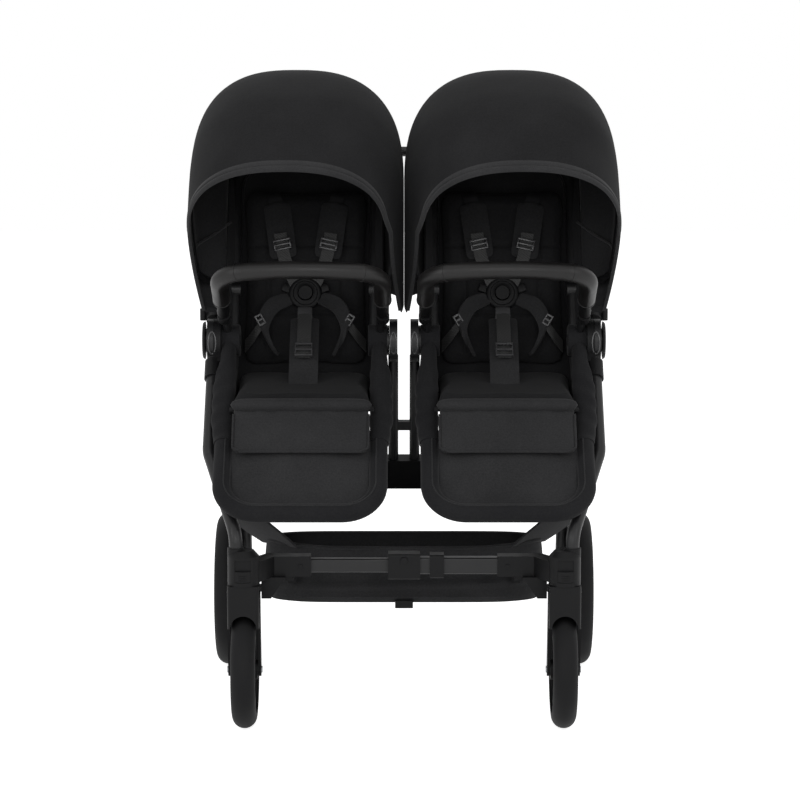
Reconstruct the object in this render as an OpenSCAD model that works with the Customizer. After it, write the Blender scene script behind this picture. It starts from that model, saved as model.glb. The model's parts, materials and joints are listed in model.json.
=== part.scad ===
// Side by side double stroller: two seats with canopies on one folding chassis.
// X runs across the stroller, Y points to the push bar, Z is up, and the wheels stand on Z = 0.

/* [Chassis] */
// Height of the hub axis where the legs, the push bar and the seats meet
hub_z = 656; // [640:1:670]
// Place of the hub axis along the stroller
hub_y = -15; // [-25:1:-5]
// Half the distance between the two side tubes
side_x = 354; // [350:1:360]
// Radius of the hub discs
hub_r = 40; // [38:1:42]
// Thickness of the fixed hub disc
hub_t = 13.7; // [12:0.1:15]
// Thickness of the rear leg ring outside the hub disc
ring_t = 11.7; // [10:0.1:13]
// Radius of the hub pins
hub_pin_r = 8; // [7:0.5:9]
// Radius of the front leg tubes
leg_r = 12; // [11:0.5:13]
// Radial play of every turning or sliding fit
play = 0.05; // [0.03:0.01:0.08]
// Gap between faces that pass each other
gap = 0.3; // [0.2:0.05:0.5]

/* [Front] */
// Half the distance between the two swivel axes
swivel_x = 285; // [280:1:290]
// Place of the swivel axes along the stroller
swivel_y = -360; // [-365:1:-355]
// How far the front axle trails behind the swivel axis
trail = 28; // [20:1:32]
// Radius of the front wheels
front_wheel_r = 105; // [100:1:106]
// Width of the front tyres
front_tyre_w = 44; // [42:1:47]
// Radius of the swivel housings
housing_r = 28; // [26:1:30]
// Top of the swivel housings
housing_top = 329; // [326:1:334]
// Height of the swivel housings
housing_h = 62; // [60:0.5:64]
// Radius of the fork stems
stem_r = 10; // [8:0.5:11]
// Thickness of the fork legs
fork_t = 5.5; // [5:0.5:8]
// Radius of the front axles
front_axle_r = 6; // [5:0.5:7]
// Place of the front cross bar along the stroller
bar_y = -300; // [-305:1:-296]
// Height of the front cross bar
bar_z = 289; // [287:1:292]
// Height of the inner half of the cross bar
thin_bar_h = 25; // [22:0.5:26]
// Height of the outer half of the cross bar
thick_bar_h = 30; // [29:0.5:32]
// Height of the arms that hold the cross bar
arm_h = 37; // [35:0.5:40]
// Width of the centre clamp
clamp_w = 57; // [50:1:62]
// Height of the centre clamp
clamp_h = 46; // [42:0.5:48]

/* [Rear] */
// Place of the rear axle along the stroller
rear_axle_y = 150; // [140:1:160]
// Radius of the rear wheels
rear_wheel_r = 147; // [144:0.5:150]
// Width of the rear tyres
rear_tyre_w = 44; // [42:1:46]
// Half the overall width over the rear wheels
rear_half_w = 362; // [360:1:366]
// Radius of the rear leg tubes
rear_leg_r = 11; // [9:0.5:12]
// Room between the rear legs and the rear tyres
rear_leg_room = 3; // [2:0.5:5]
// Radius of the rear axle
rear_axle_r = 8; // [7:0.5:9]
// Distance of the rear beam from the hub axis
beam_at = 278; // [266:1:286]
// Height of the rear beam
beam_h = 60; // [50:1:64]
// Depth of the rear beam
beam_d = 28; // [26:1:32]
// Distance between the middle and each centre post
post_x = 20; // [19:0.5:21]
// Radius of the centre posts
post_r = 10; // [8:0.5:10]
// Inner face of the rings at the top of the centre posts
post_ring_in = 12; // [10:0.5:13]
// Outer face of the rings at the top of the centre posts
post_ring_out = 27; // [25:0.5:28]
// Travel of the brake pins
brake_travel = 6; // [4:0.5:7]

/* [Push bar] */
// Place of the push bar along the stroller
push_y = 420; // [410:1:430]
// Height of the push bar at its lowest setting
push_z = 976; // [965:1:990]
// Radius of the push bar tube
push_r = 10; // [9:0.5:11]
// Radius of the sleeves that the push bar slides in
sleeve_r = 14.5; // [14:0.25:14.5]
// Length of the sleeves
sleeve_l = 245; // [230:1:260]
// Radius of the grip
grip_r = 15; // [14:0.5:17]
// Distance from the middle to the outer end of each grip
grip_half = 270; // [240:1:280]
// Distance from the middle to the inner end of each grip
grip_in = 30; // [20:1:40]

/* [Seats] */
// Distance between the middle planes of the two seats
seat_spacing = 372; // [370:1:374]
// Half the width of the leg loop between tube middles
loop_half = 140; // [139:0.5:141]
// Half the width of the back loop between tube middles
back_half = 132; // [130:0.5:133]
// Radius of the seat tubes
seat_tube_r = 11; // [10:0.5:11.5]
// Corner radius of the leg loop
loop_bend = 65; // [50:1:80]
// Corner radius of the back loop
back_bend = 70; // [50:1:80]
// Place of the lowest tube of the leg loop
toe_y = -355; // [-360:1:-345]
// Height of the lowest tube of the leg loop
toe_z = 394; // [388:1:402]
// Place of the top tube of the back loop
back_top_y = 170; // [160:1:180]
// Height of the top tube of the back loop
back_top_z = 985; // [975:1:1000]
// Top of the seat pan cloth
pan_z = 556; // [550:1:560]
// Front edge of the seat pan
pan_front = -205; // [-210:1:-198]
// Place where the pan meets the backrest
pan_rear = 40; // [36:1:46]
// Thickness of the seat cloth
cloth_t = 4; // [3:0.5:5]
// Thickness of the seat pad and of the back pad
pad_t = 22; // [16:1:26]
// Radius of the bumper bar
bumper_r = 16; // [14:0.5:17]
// Front of the bumper bar's bow
bumper_y = -268; // [-272:1:-262]
// Top of the bumper bar's bow
bumper_z = 820; // [814:1:824]
// Radius of the bumper bar stubs
bumper_stub_r = 7.5; // [6:0.5:8]

/* [Canopies] */
// Place of the canopy pivots along the stroller
pivot_y = 35; // [33:1:37]
// Height of the canopy pivots
pivot_z = 745; // [743:1:747]
// Radius of the front canopy over its top
canopy_r = 415; // [405:1:418]
// Outer reach of the front canopy from the middle of the stroller
canopy_out = 390; // [384:1:392]
// Inner edge of the front canopy from the middle of the stroller
canopy_in = 8; // [6:1:24]
// Angle of the canopy rim ahead of upright
rim_angle = 53; // [48:1:56]
// Thickness of the canopy cloth
canopy_t = 3; // [2:0.25:3.25]

/* [Basket] */
// Half the width of the basket
basket_half = 258; // [245:1:262]
// Front wall of the basket
basket_front = -185; // [-190:1:-178]
// Rear wall of the basket
basket_rear = 130; // [110:1:140]
// Rim height of the basket
basket_top = 290; // [285:1:296]
// Floor height of the basket
basket_floor = 187; // [182:1:195]
// Wall of the basket
basket_t = 3; // [2:0.5:4]

/* [Hidden] */
$fn = 64;
SIDES = ["left", "right"];

// Colours as the eye sees them
tube_black = "#1c1c1d";
plastic_black = "#222223";
cloth_black = "#2d2d2e";
leather_black = "#262526";
tyre_black = "#18181a";

// Tube joints lap by this much, with the straight a hair thinner than its bend
lap = 0.2;

hub = [0, hub_y, hub_z];
rear_axle_z = rear_wheel_r;
rear_run = [0, rear_axle_y - hub_y, rear_axle_z - hub_z];
rear_dir = rear_run / norm(rear_run);
push_run = [0, push_y - hub_y, push_z - hub_z];
push_dir = push_run / norm(push_run);
disc_in = side_x - hub_t;
rear_leg_x = rear_half_w - rear_tyre_w - rear_leg_r - rear_leg_room;
ring_out = side_x + gap + ring_t;

// The front leg stays outside the seat loop down to the knee, then runs in under it to the housing
neck_x = swivel_x + 13;
knee = [-side_x, -205, 477];
neck = [-neck_x, swivel_y, housing_top + 27];
leg_foot = [-neck_x, swivel_y, housing_top - 13];
leg_dir = (knee - [-side_x, hub_y, hub_z]) / norm(knee - [-side_x, hub_y, hub_z]);
// Sockets of the hub start clear of the turning ring
socket_from = hub_r + 12;
socket_to = socket_from + 40;
tube_from = socket_from + 6;

front_axle_y = swivel_y + trail;
fork_in = front_tyre_w / 2 + 2;
fork_out = fork_in + fork_t;
crown_z = 2 * front_wheel_r + 4;
housing_bottom = housing_top - housing_h;

seat_x = seat_spacing / 2;
loop_out = seat_x + loop_half;
loop_in = seat_x - loop_half;
back_out = seat_x + back_half;
back_in = seat_x - back_half;
seat_boss_r = 28;
seat_boss_out = disc_in - gap;
seat_boss_in = post_ring_out + gap;
toe_dir = [0, toe_y - hub_y, toe_z - hub_z] / norm([0, toe_y - hub_y, toe_z - hub_z]);

// The backrest leans from the pan to its top edge, with its own frame of axes
paddle_wall = 4;
top_room = 13;
back_rise = [0, 132, 424];
back_dir = back_rise / norm(back_rise);
back_tilt = atan2(back_rise.y, back_rise.z);
back_end = norm([back_top_y - pan_rear, back_top_z - pan_z]);
back_l = back_end - seat_tube_r - paddle_wall - top_room;

bumper_out = seat_x + 147;
socket_tilt = 60.5;
socket_dir = [0, -sin(socket_tilt), cos(socket_tilt)];
socket_y = -48;
socket_z = 700;
socket_h = 22;
socket_r = 12;

canopy_stud_r = 5;
stud_face = back_out + 13.8;
arm_plate = 3.2;

function unit(v) = v / norm(v);
function turn(a, b, c) = acos(unit(b - a) * unit(c - b));
function set_back(pts, bends, i) = (i == 0 || i == len(pts) - 1) ? 0
    : bends[i] * tan(turn(pts[i - 1], pts[i], pts[i + 1]) / 2) - lap;

// A straight round bar from a to b
module rod(a, b, r) {
    d = b - a;
    translate(a) rotate([0, acos(d.z / norm(d)), atan2(d.y, d.x)]) cylinder(h = norm(d), r = r);
}

// A round bend between the legs a to b and b to c
module elbow(a, b, c, r, bend) {
    d = unit(b - a);
    ang = turn(a, b, c);
    n = unit(unit(c - b) - (d * unit(c - b)) * d);
    o = b - d * bend * tan(ang / 2) + n * bend;
    z = cross(-n, d);
    multmatrix([[-n.x, d.x, z.x, o.x], [-n.y, d.y, z.y, o.y], [-n.z, d.z, z.z, o.z], [0, 0, 0, 1]])
        rotate_extrude(angle = ang) translate([bend, 0]) circle(r = r);
}

// A bar along points, with a bend radius at each inner point
module bent_tube(pts, bends, r) {
    for (i = [0 : len(pts) - 2]) {
        d = unit(pts[i + 1] - pts[i]);
        rod(pts[i] + d * set_back(pts, bends, i), pts[i + 1] - d * set_back(pts, bends, i + 1), r - lap);
    }
    for (i = [1 : len(pts) - 2]) elbow(pts[i - 1], pts[i], pts[i + 1], r, bends[i]);
}

// A cylinder along X between two X values, at a place in the side view
module across(x0, x1, y, z, r) {
    translate([min(x0, x1), y, z]) rotate([0, 90, 0]) cylinder(h = abs(x1 - x0), r = r);
}

// A shape drawn in the side view (Y, Z) and given a thickness from x0 to x1
module side_plate(x0, x1) {
    translate([min(x0, x1), 0, 0]) rotate([90, 0, 90]) linear_extrude(abs(x1 - x0)) children();
}

// Everything is drawn on the left, and the right is its mirror image
module on_side(side) {
    if (side == "left") children();
    else mirror([1, 0, 0]) children();
}

module both_sides() {
    for (side = SIDES) on_side(side) children();
}

// A straight flat bar in the side view from the hub along a direction
module hub_neck(dir, to, half) {
    side_plate(-side_x, -disc_in) translate([hub_y, hub_z]) rotate(atan2(dir.z, dir.y))
        translate([0, -half]) square([to, 2 * half]);
}

// Chassis

leg_path = [[-side_x, hub_y, hub_z] + leg_dir * tube_from, knee, neck, leg_foot];
leg_bends = [0, 90, 40, 0];

module front_legs() {
    color(tube_black) both_sides() bent_tube(leg_path, leg_bends, leg_r);
}

// Upright accessory socket on the outside of each hub
accessory_r = 4.5;
accessory_depth = 14;
accessory_h = 22;
accessory_wall = 3;
accessory_foot = [-side_x, hub_y, hub_z] + push_dir * (socket_from + 18);
accessory_x = side_x + sleeve_r + 3.5 + accessory_r;
web_w = 11;
web_h = 17;
accessory_top = accessory_foot.z + accessory_h / 2;

module outer_hubs() {
    side_hub = [-side_x, hub_y, hub_z];
    color(plastic_black) both_sides() difference() {
        union() {
            across(-side_x, -disc_in, hub_y, hub_z, hub_r);
            hub_neck(leg_dir, socket_from + 8, leg_r + 1);
            hub_neck(push_dir, socket_from + 8, leg_r + 1);
            rod(side_hub + leg_dir * socket_from, side_hub + leg_dir * socket_to, leg_r + 3.3);
            rod(side_hub + push_dir * socket_from, side_hub + push_dir * (socket_to - 4), sleeve_r + 2.5);
            translate([-accessory_x, accessory_foot.y, accessory_top - accessory_h])
                cylinder(h = accessory_h, r = accessory_r + accessory_wall);
            translate([-accessory_x, accessory_foot.y - web_w / 2, accessory_top - accessory_h + 1])
                cube([accessory_x - side_x, web_w, web_h]);
        }
        rod(side_hub + leg_dir * tube_from, side_hub + leg_dir * (socket_to + 1), leg_r);
        rod(side_hub + push_dir * tube_from, side_hub + push_dir * (socket_to + 1), sleeve_r);
        across(-side_x - 1, -disc_in + 1, hub_y, hub_z, hub_pin_r);
        translate([-accessory_x, accessory_foot.y, accessory_top - accessory_depth])
            cylinder(h = accessory_h, r = accessory_r);
    }
}

// Hub pins with their round caps, and the screws of the front arms
pin_cap_r = 22;
pin_cap_t = 4;
screw_x = 185;
screw_r = 4;

module frame_fasteners() {
    color(plastic_black) both_sides() {
        across(-ring_out - gap, -(loop_out - 14), hub_y, hub_z, hub_pin_r);
        across(-ring_out - gap - pin_cap_t, -ring_out - gap, hub_y, hub_z, pin_cap_r);
        arm_screw();
    }
}

module arm_screw() {
    translate([-screw_x, bar_y - bar_depth(arm_h) / 2 - 2, bar_z]) rotate([-90, 0, 0]) cylinder(h = 4.5, r = screw_r);
}

// Cross bar between the swivel housings, thin on the left and thick on the right
bar_half = 240;
bar_step = 5;
bar_lap = 120;
bar_corner = 4;

// Bars are this much less deep than they are high
function bar_depth(h) = h - 8;

// A bar of rounded box section along the cross bar's line
module bar_across(x0, x1, h) {
    d = bar_depth(h);
    side_plate(x0, x1) translate([bar_y, bar_z]) {
        square([d, h - 2 * bar_corner], center = true);
        square([d - 2 * bar_corner, h], center = true);
        for (y = [-1, 1], z = [-1, 1]) translate([y * (d / 2 - bar_corner), z * (h / 2 - bar_corner)])
            circle(r = bar_corner);
    }
}

module front_cross_bar() {
    color(tube_black) {
        bar_across(-bar_half, bar_lap, thin_bar_h);
        difference() {
            bar_across(bar_step, bar_half, thick_bar_h);
            bar_across(bar_step - 1, bar_half + 1, thin_bar_h + 2 * play);
        }
    }
}

// Each arm reaches from the swivel housing back to the bar, with a web under it
arm_end = 167;
web_low = 233;

module front_arm(bore_h) {
    back = bar_y + bar_depth(arm_h) / 2;
    front = bar_y - bar_depth(arm_h) / 2;
    difference() {
        union() {
            translate([0, 0, bar_z - arm_h / 2]) linear_extrude(arm_h)
                polygon([[-swivel_x, swivel_y + 16], [-swivel_x + 22, swivel_y - 12], [-bar_half + 8, front],
                    [-arm_end, front], [-arm_end, back], [-bar_half - 6, back]]);
            translate([0, bar_y, 0]) rotate([90, 0, 0]) linear_extrude(-swivel_y + bar_y - 34)
                polygon([[-bar_half - 15, web_low], [-bar_half + 2, web_low], [-bar_half + 28, bar_z - arm_h / 2 + 1],
                    [-bar_half - 15, bar_z - arm_h / 2 + 1]]);
        }
        translate([-swivel_x, swivel_y, 0]) cylinder(h = 2 * housing_top, r = housing_r);
        bar_across(-bar_half, -arm_end + 1, bore_h);
        arm_screw();
    }
}

module front_arms() {
    color(plastic_black) {
        front_arm(thin_bar_h);
        mirror([1, 0, 0]) front_arm(thick_bar_h);
    }
}

collar_x = 46;
collar_w = 25;
button_r = 6;
button_z = bar_z + 12;
clamp_face = bar_y - bar_depth(clamp_h) / 2;

module cross_bar_clamps() {
    color(plastic_black) {
        difference() {
            bar_across(-clamp_w / 2, clamp_w / 2, clamp_h);
            bar_across(-clamp_w, bar_step, thin_bar_h);
            bar_across(bar_step, clamp_w, thick_bar_h);
            translate([0, clamp_face - 1, button_z]) rotate([-90, 0, 0]) cylinder(h = 7, r = button_r + gap);
        }
        difference() {
            bar_across(collar_x, collar_x + collar_w, clamp_h - 4);
            bar_across(collar_x - 1, collar_x + collar_w + 1, thick_bar_h);
        }
    }
}

module width_lock_button() {
    color(plastic_black) translate([0, clamp_face - 3, button_z]) rotate([-90, 0, 0]) cylinder(h = 5.5, r = button_r);
}

// Swivel housings with the slot of the lock slider in front
lock_w = 28;
lock_h = 19;
lock_t = 7;
lock_low = housing_bottom + 8.5;
lock_travel = 18;
lock_seat_y = swivel_y - housing_r + lock_t - 1;
stem_l = 38;

module swivel_housings() {
    color(plastic_black) both_sides() difference() {
        translate([-swivel_x, swivel_y, housing_bottom]) union() {
            cylinder(h = housing_h - 10, r = housing_r);
            translate([0, 0, housing_h - 10]) cylinder(h = 10, r1 = housing_r, r2 = housing_r - 9);
            translate([swivel_x - neck_x, 0, housing_h - 24]) cylinder(h = 28, r = leg_r + 3);
        }
        rod(leg_foot, leg_foot + [0, 0, 60], leg_r - lap);
        translate([-swivel_x, swivel_y, housing_bottom - 1]) cylinder(h = stem_l + 4, r = stem_r + play);
        translate([-swivel_x - lock_w / 2 - gap, lock_seat_y - 20, lock_low - 1])
            cube([lock_w + 2 * gap, 20, lock_h + lock_travel + 3]);
    }
}

module swivel_lock(side) {
    color(plastic_black) on_side(side) translate([-swivel_x, lock_seat_y, lock_low]) difference() {
        intersection() {
            translate([-lock_w / 2, -2 * lock_t, 0]) cube([lock_w, 2 * lock_t - gap, lock_h]);
            translate([0, swivel_y - lock_seat_y, -1]) cylinder(h = lock_h + 2, r = housing_r + 1.2);
        }
        for (i = [0 : 2]) translate([-lock_w, -3 * lock_t + 1, 3 + i * 4]) cube([2 * lock_w, 2 * lock_t, 1.6]);
    }
}

// Sleeves of the push bar, each with a collar and the stud of its clamp lever
sleeve_end = tube_from + sleeve_l;
collar_l = 26;
lever_stud_r = 4;
lever_at = [-side_x, hub_y, hub_z] + push_dir * (sleeve_end - collar_l / 2);
collar_r = sleeve_r + 3.5;

module handle_sleeves() {
    side_hub = [-side_x, hub_y, hub_z];
    color(tube_black) both_sides() difference() {
        union() {
            rod(side_hub + push_dir * tube_from, side_hub + push_dir * sleeve_end, sleeve_r);
            rod(side_hub + push_dir * (sleeve_end - collar_l), side_hub + push_dir * sleeve_end, collar_r);
            across(-side_x - collar_r - 7, -side_x - sleeve_r, lever_at.y, lever_at.z, lever_stud_r);
        }
        rod(side_hub + push_dir * (tube_from - 1), side_hub + push_dir * (sleeve_end + 1), push_r + play);
    }
}

module handle_lever(side) {
    x0 = -side_x - collar_r - gap;
    color(plastic_black) on_side(side) difference() {
        union() {
            across(x0 - 6, x0, lever_at.y, lever_at.z, 10);
            side_plate(x0 - 6, x0) translate([lever_at.y, lever_at.z]) rotate(atan2(push_dir.z, push_dir.y) + 180)
                translate([0, -7]) square([58, 14]);
        }
        across(x0 - 20, x0 + 20, lever_at.y, lever_at.z, lever_stud_r + play);
    }
}

// Basket: an open tub hung from hooks in front and from side straps on the front legs
basket_corner = 30;
strap_w = 26;
strap_from = [-basket_half + 2, basket_front + 40, basket_top - 30];
strap_to = (knee + neck) / 2;
strap_run = strap_to - strap_from;

module basket_plan(inset) {
    r = basket_corner - inset;
    for (x = [-1, 1], y = [basket_front + basket_corner, basket_rear - basket_corner])
        translate([x * (basket_half - basket_corner), y]) circle(r = r);
    translate([-basket_half + basket_corner, basket_front + inset])
        square([2 * (basket_half - basket_corner), basket_rear - basket_front - 2 * inset]);
    translate([-basket_half + inset, basket_front + basket_corner])
        square([2 * (basket_half - inset), basket_rear - basket_front - 2 * basket_corner]);
}

module basket() {
    color(cloth_black) difference() {
        union() {
            translate([0, 0, basket_floor]) linear_extrude(basket_top - basket_floor) basket_plan(0);
            both_sides() translate(strap_from)
                rotate([0, acos(strap_run.z / norm(strap_run)), atan2(strap_run.y, strap_run.x)])
                translate([-1.25, -strap_w / 2, 0]) cube([2.5, strap_w, norm(strap_run)]);
        }
        translate([0, 0, basket_floor + basket_t]) linear_extrude(basket_top) basket_plan(basket_t);
        both_sides() bent_tube(leg_path, leg_bends, leg_r + lap);
    }
}

hook_inset = 35;
hook_x = bar_half - hook_inset;
hook_w = 14;
hook_z = 262;
hook_h = 14;

module basket_hooks() {
    color(plastic_black) both_sides() difference() {
        union() {
            translate([-hook_x - hook_w / 2, bar_y - 8, hook_z]) cube([hook_w, basket_front - bar_y + 8, hook_h]);
            translate([-hook_x - hook_w / 2, basket_front - 6, hook_z - 30]) cube([hook_w, 6, 40]);
        }
        translate([-bar_half, bar_y - bar_depth(arm_h) / 2, bar_z - arm_h / 2]) cube([bar_half, bar_depth(arm_h), arm_h]);
    }
}

// Rear frame

function rear_point(x, at) = [x, hub_y, hub_z] + rear_dir * at;
rear_reach = norm(rear_run);
rear_elbow = 215;
rear_path = [rear_point(-side_x - 1, 60), rear_point(-rear_leg_x, rear_elbow), rear_point(-rear_leg_x, rear_reach)];
foot_r = 17;
foot_in = rear_leg_x - 14;
foot_out = rear_half_w - rear_tyre_w - 4;
brake_pin_r = 2.5;
brake_ring_r = 40;
brake_at = rear_point(0, rear_reach - brake_ring_r);

// Turns the side view so that its vertical runs down the rear frame
module down_rear(at) {
    translate(rear_point(0, at)) rotate([atan2(rear_dir.y, -rear_dir.z), 0, 0]) children();
}

module rear_legs() {
    color(tube_black) both_sides() difference() {
        union() {
            across(-ring_out, -side_x - gap, hub_y, hub_z, hub_r);
            side_plate(-ring_out, -side_x - gap) translate([hub_y, hub_z]) rotate(atan2(rear_dir.z, rear_dir.y))
                translate([0, -9]) square([80, 18]);
            bent_tube(rear_path, [0, 80, 0], rear_leg_r);
            across(-foot_out, -foot_in, rear_axle_y, rear_axle_z, foot_r);
        }
        across(-ring_out - 1, -side_x + 1, hub_y, hub_z, hub_pin_r + play);
        across(-foot_out - 1, -foot_in + 1, rear_axle_y, rear_axle_z, rear_axle_r);
        across(-foot_out - 20, -foot_in + 20, brake_at.y, brake_at.z, brake_pin_r + play);
    }
}

module rear_beam() {
    half = rear_leg_x + 17;
    color(plastic_black) difference() {
        down_rear(beam_at) translate([-half, -beam_d / 2, -beam_h / 2]) cube([2 * half, beam_d, beam_h]);
        both_sides() rod(rear_point(-rear_leg_x, beam_at - beam_h), rear_point(-rear_leg_x, beam_at + beam_h), rear_leg_r - lap);
    }
}

inner_pin_end = seat_boss_in + 34;
brace_at = beam_at - 100;
post_ring_r = 40;

module center_posts() {
    color(tube_black) {
        both_sides() union() {
            across(-post_ring_out, -post_ring_in, hub_y, hub_z, post_ring_r);
            across(-inner_pin_end, -post_ring_in, hub_y, hub_z, hub_pin_r);
            rod(rear_point(-post_x, seat_boss_r + 3), rear_point(-post_x, beam_at - beam_h / 2), post_r - 0.5);
        }
        difference() {
            down_rear(brace_at) translate([-post_x, -5, -9]) cube([2 * post_x, 10, 18]);
            both_sides() rod(rear_point(-post_x, 100), rear_point(-post_x, beam_at), post_r - 0.5);
        }
    }
}

module rear_axle() {
    color(tube_black) across(-rear_half_w + 4, rear_half_w - 4, rear_axle_y, rear_axle_z, rear_axle_r);
}

pedal_x = 150;
pedal_w = 80;

module brake_pedal() {
    color(plastic_black) difference() {
        union() {
            across(pedal_x, pedal_x + pedal_w, rear_axle_y, rear_axle_z, rear_axle_r + 6);
            translate([pedal_x, rear_axle_y + 4, rear_axle_z - 4]) cube([pedal_w, 58, 8]);
            translate([pedal_x, rear_axle_y + 56, rear_axle_z - 4]) cube([pedal_w, 8, 12]);
        }
        across(pedal_x - 1, pedal_x + pedal_w + 1, rear_axle_y, rear_axle_z, rear_axle_r + play);
    }
}

module brake_pin(side) {
    color("silver") on_side(side)
        across(-foot_out - 1.5, -foot_in - 2 + brake_travel, brake_at.y, brake_at.z, brake_pin_r);
}

// Wheels and forks

// The crown arches over the tyre between two plates that carry the axle
crown_half = 28.2;
crown_round = 8;
arch_r = fork_in - 0.5;
arch_z = crown_z - fork_in;
plate_foot = 12;

module crown_plan(depth) {
    square([2 * crown_half, depth - 2 * crown_round], center = true);
    square([2 * (crown_half - crown_round), depth], center = true);
    for (x = [-1, 1], y = [-1, 1]) translate([x * (crown_half - crown_round), y * (depth / 2 - crown_round)])
        circle(r = crown_round);
}

module fork(side) {
    front = swivel_y - 24;
    back = swivel_y + 24;
    top = housing_bottom - gap;
    color(plastic_black) on_side(side) translate([-swivel_x, 0, 0]) difference() {
        union() {
            translate([0, swivel_y, top - 5]) cylinder(h = stem_l + 5, r = stem_r);
            difference() {
                translate([0, swivel_y, arch_z]) linear_extrude(top - arch_z) crown_plan(back - front);
                translate([0, back + 1, arch_z]) rotate([90, 0, 0]) cylinder(h = back - front + 2, r = arch_r);
            }
            for (s = [-1, 1]) {
                side_plate(s * fork_in, s * fork_out)
                    polygon([[front + 9, top - 12], [back - 9, top - 12],
                        [front_axle_y + plate_foot - 0.5, front_wheel_r], [front_axle_y - plate_foot + 0.5, front_wheel_r]]);
                across(s * fork_in, s * fork_out, front_axle_y, front_wheel_r, plate_foot);
            }
        }
        across(-fork_out - 1, fork_out + 1, front_axle_y, front_wheel_r, front_axle_r);
    }
}

module front_axle(side) {
    color("silver") on_side(side) translate([-swivel_x, 0, 0])
        across(-fork_out - 2, fork_out + 2, front_axle_y, front_wheel_r, front_axle_r);
}

// Turns a wheel drawn round Z so that its axle lies along X, at a place
module wheel_at(x, y, z) {
    translate([x, y, z]) rotate([0, 90, 0]) children();
}

function rim_radius(r, w) = r - 0.6 * w;

module tyre(r, w) {
    rotate_extrude() intersection() {
        translate([r - w / 2, 0]) circle(r = w / 2);
        translate([rim_radius(r, w), -w]) square([w, 2 * w]);
    }
}

module rim(r, w, hub_radius, hub_half, bore, windows, window_r) {
    band = rim_radius(r, w);
    difference() {
        union() {
            rotate_extrude() {
                translate([band - 9, -w / 2 + 5]) square([9, w - 10]);
                translate([hub_radius - 1, -5]) square([band - hub_radius - 7, 10]);
            }
            translate([0, 0, -hub_half]) cylinder(h = 2 * hub_half, r = hub_radius);
        }
        translate([0, 0, -w]) cylinder(h = 2 * w, r = bore);
        for (i = [0 : windows - 1]) rotate(i * 360 / windows + 18) translate([(band + hub_radius) / 2 - 2, 0, -w])
            cylinder(h = 2 * w, r = window_r);
    }
}

module front_tyre(side) {
    color(tyre_black) on_side(side) wheel_at(-swivel_x, front_axle_y, front_wheel_r) tyre(front_wheel_r, front_tyre_w);
}

module front_rim(side) {
    color(plastic_black) on_side(side) wheel_at(-swivel_x, front_axle_y, front_wheel_r)
        rim(front_wheel_r, front_tyre_w, 18, front_tyre_w / 2 + 1.5, front_axle_r + play, 5, 14);
}

rear_wheel_x = rear_half_w - rear_tyre_w / 2;
brake_holes = 18;
brake_angle = atan2(brake_at.y - rear_axle_y, rear_axle_z - brake_at.z);

module rear_tyre(side) {
    color(tyre_black) on_side(side) wheel_at(-rear_wheel_x, rear_axle_y, rear_wheel_r) tyre(rear_wheel_r, rear_tyre_w);
}

// The rim carries a ring of holes on its inner side for the brake pin, and a cap over the axle end
module rear_rim(side) {
    axle_end = rear_half_w - 4 - rear_wheel_x;
    color(plastic_black) on_side(side) wheel_at(-rear_wheel_x, rear_axle_y, rear_wheel_r) difference() {
        union() {
            rim(rear_wheel_r, rear_tyre_w, 30, rear_tyre_w / 2 - 2, rear_axle_r + play, 5, 26);
            translate([0, 0, -axle_end - 4]) cylinder(h = 3.7, r = 24);
            difference() {
                cylinder(h = rear_tyre_w / 2 - gap, r = brake_ring_r + 8);
                translate([0, 0, -1]) cylinder(h = rear_tyre_w, r = brake_ring_r - 11);
            }
        }
        for (i = [0 : brake_holes - 1]) rotate(brake_angle + i * 360 / brake_holes) translate([brake_ring_r, 0, 6])
            cylinder(h = rear_tyre_w, r = brake_pin_r + 0.8);
    }
}

// Push bar

push_bend = 60;
push_lap = 112;
push_from = tube_from + push_lap;
push_path = [[-side_x, hub_y, hub_z] + push_dir * push_from, [-side_x, push_y, push_z],
    [side_x, push_y, push_z], [side_x, hub_y, hub_z] + push_dir * push_from];

module handle_frame() {
    color(tube_black) bent_tube(push_path, [0, push_bend, push_bend, 0], push_r);
}

module handle_grip() {
    color(leather_black) difference() {
        both_sides() across(-grip_half, -grip_in, push_y, push_z, grip_r);
        across(-grip_half - 1, grip_half + 1, push_y, push_z, push_r - lap);
    }
}

// Seats, drawn on the left side of the stroller

loop_path = [[-loop_out, hub_y, hub_z], [-loop_out, toe_y, toe_z], [-loop_in, toe_y, toe_z], [-loop_in, hub_y, hub_z]];
loop_bends = [0, loop_bend, loop_bend, 0];
back_path = [[-back_out, hub_y, hub_z], [-back_out, back_top_y, back_top_z],
    [-back_in, back_top_y, back_top_z], [-back_in, hub_y, hub_z]];
back_bends = [0, back_bend, back_bend, 0];

// Mirrors a shape in the middle plane of the left seat, and keeps the shape itself
module seat_pair() {
    children();
    translate([-seat_spacing, 0, 0]) mirror([1, 0, 0]) children();
}

module seat_tubes(extra) {
    bent_tube(loop_path, loop_bends, seat_tube_r + extra);
    bent_tube(back_path, back_bends, seat_tube_r + extra);
}

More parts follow.
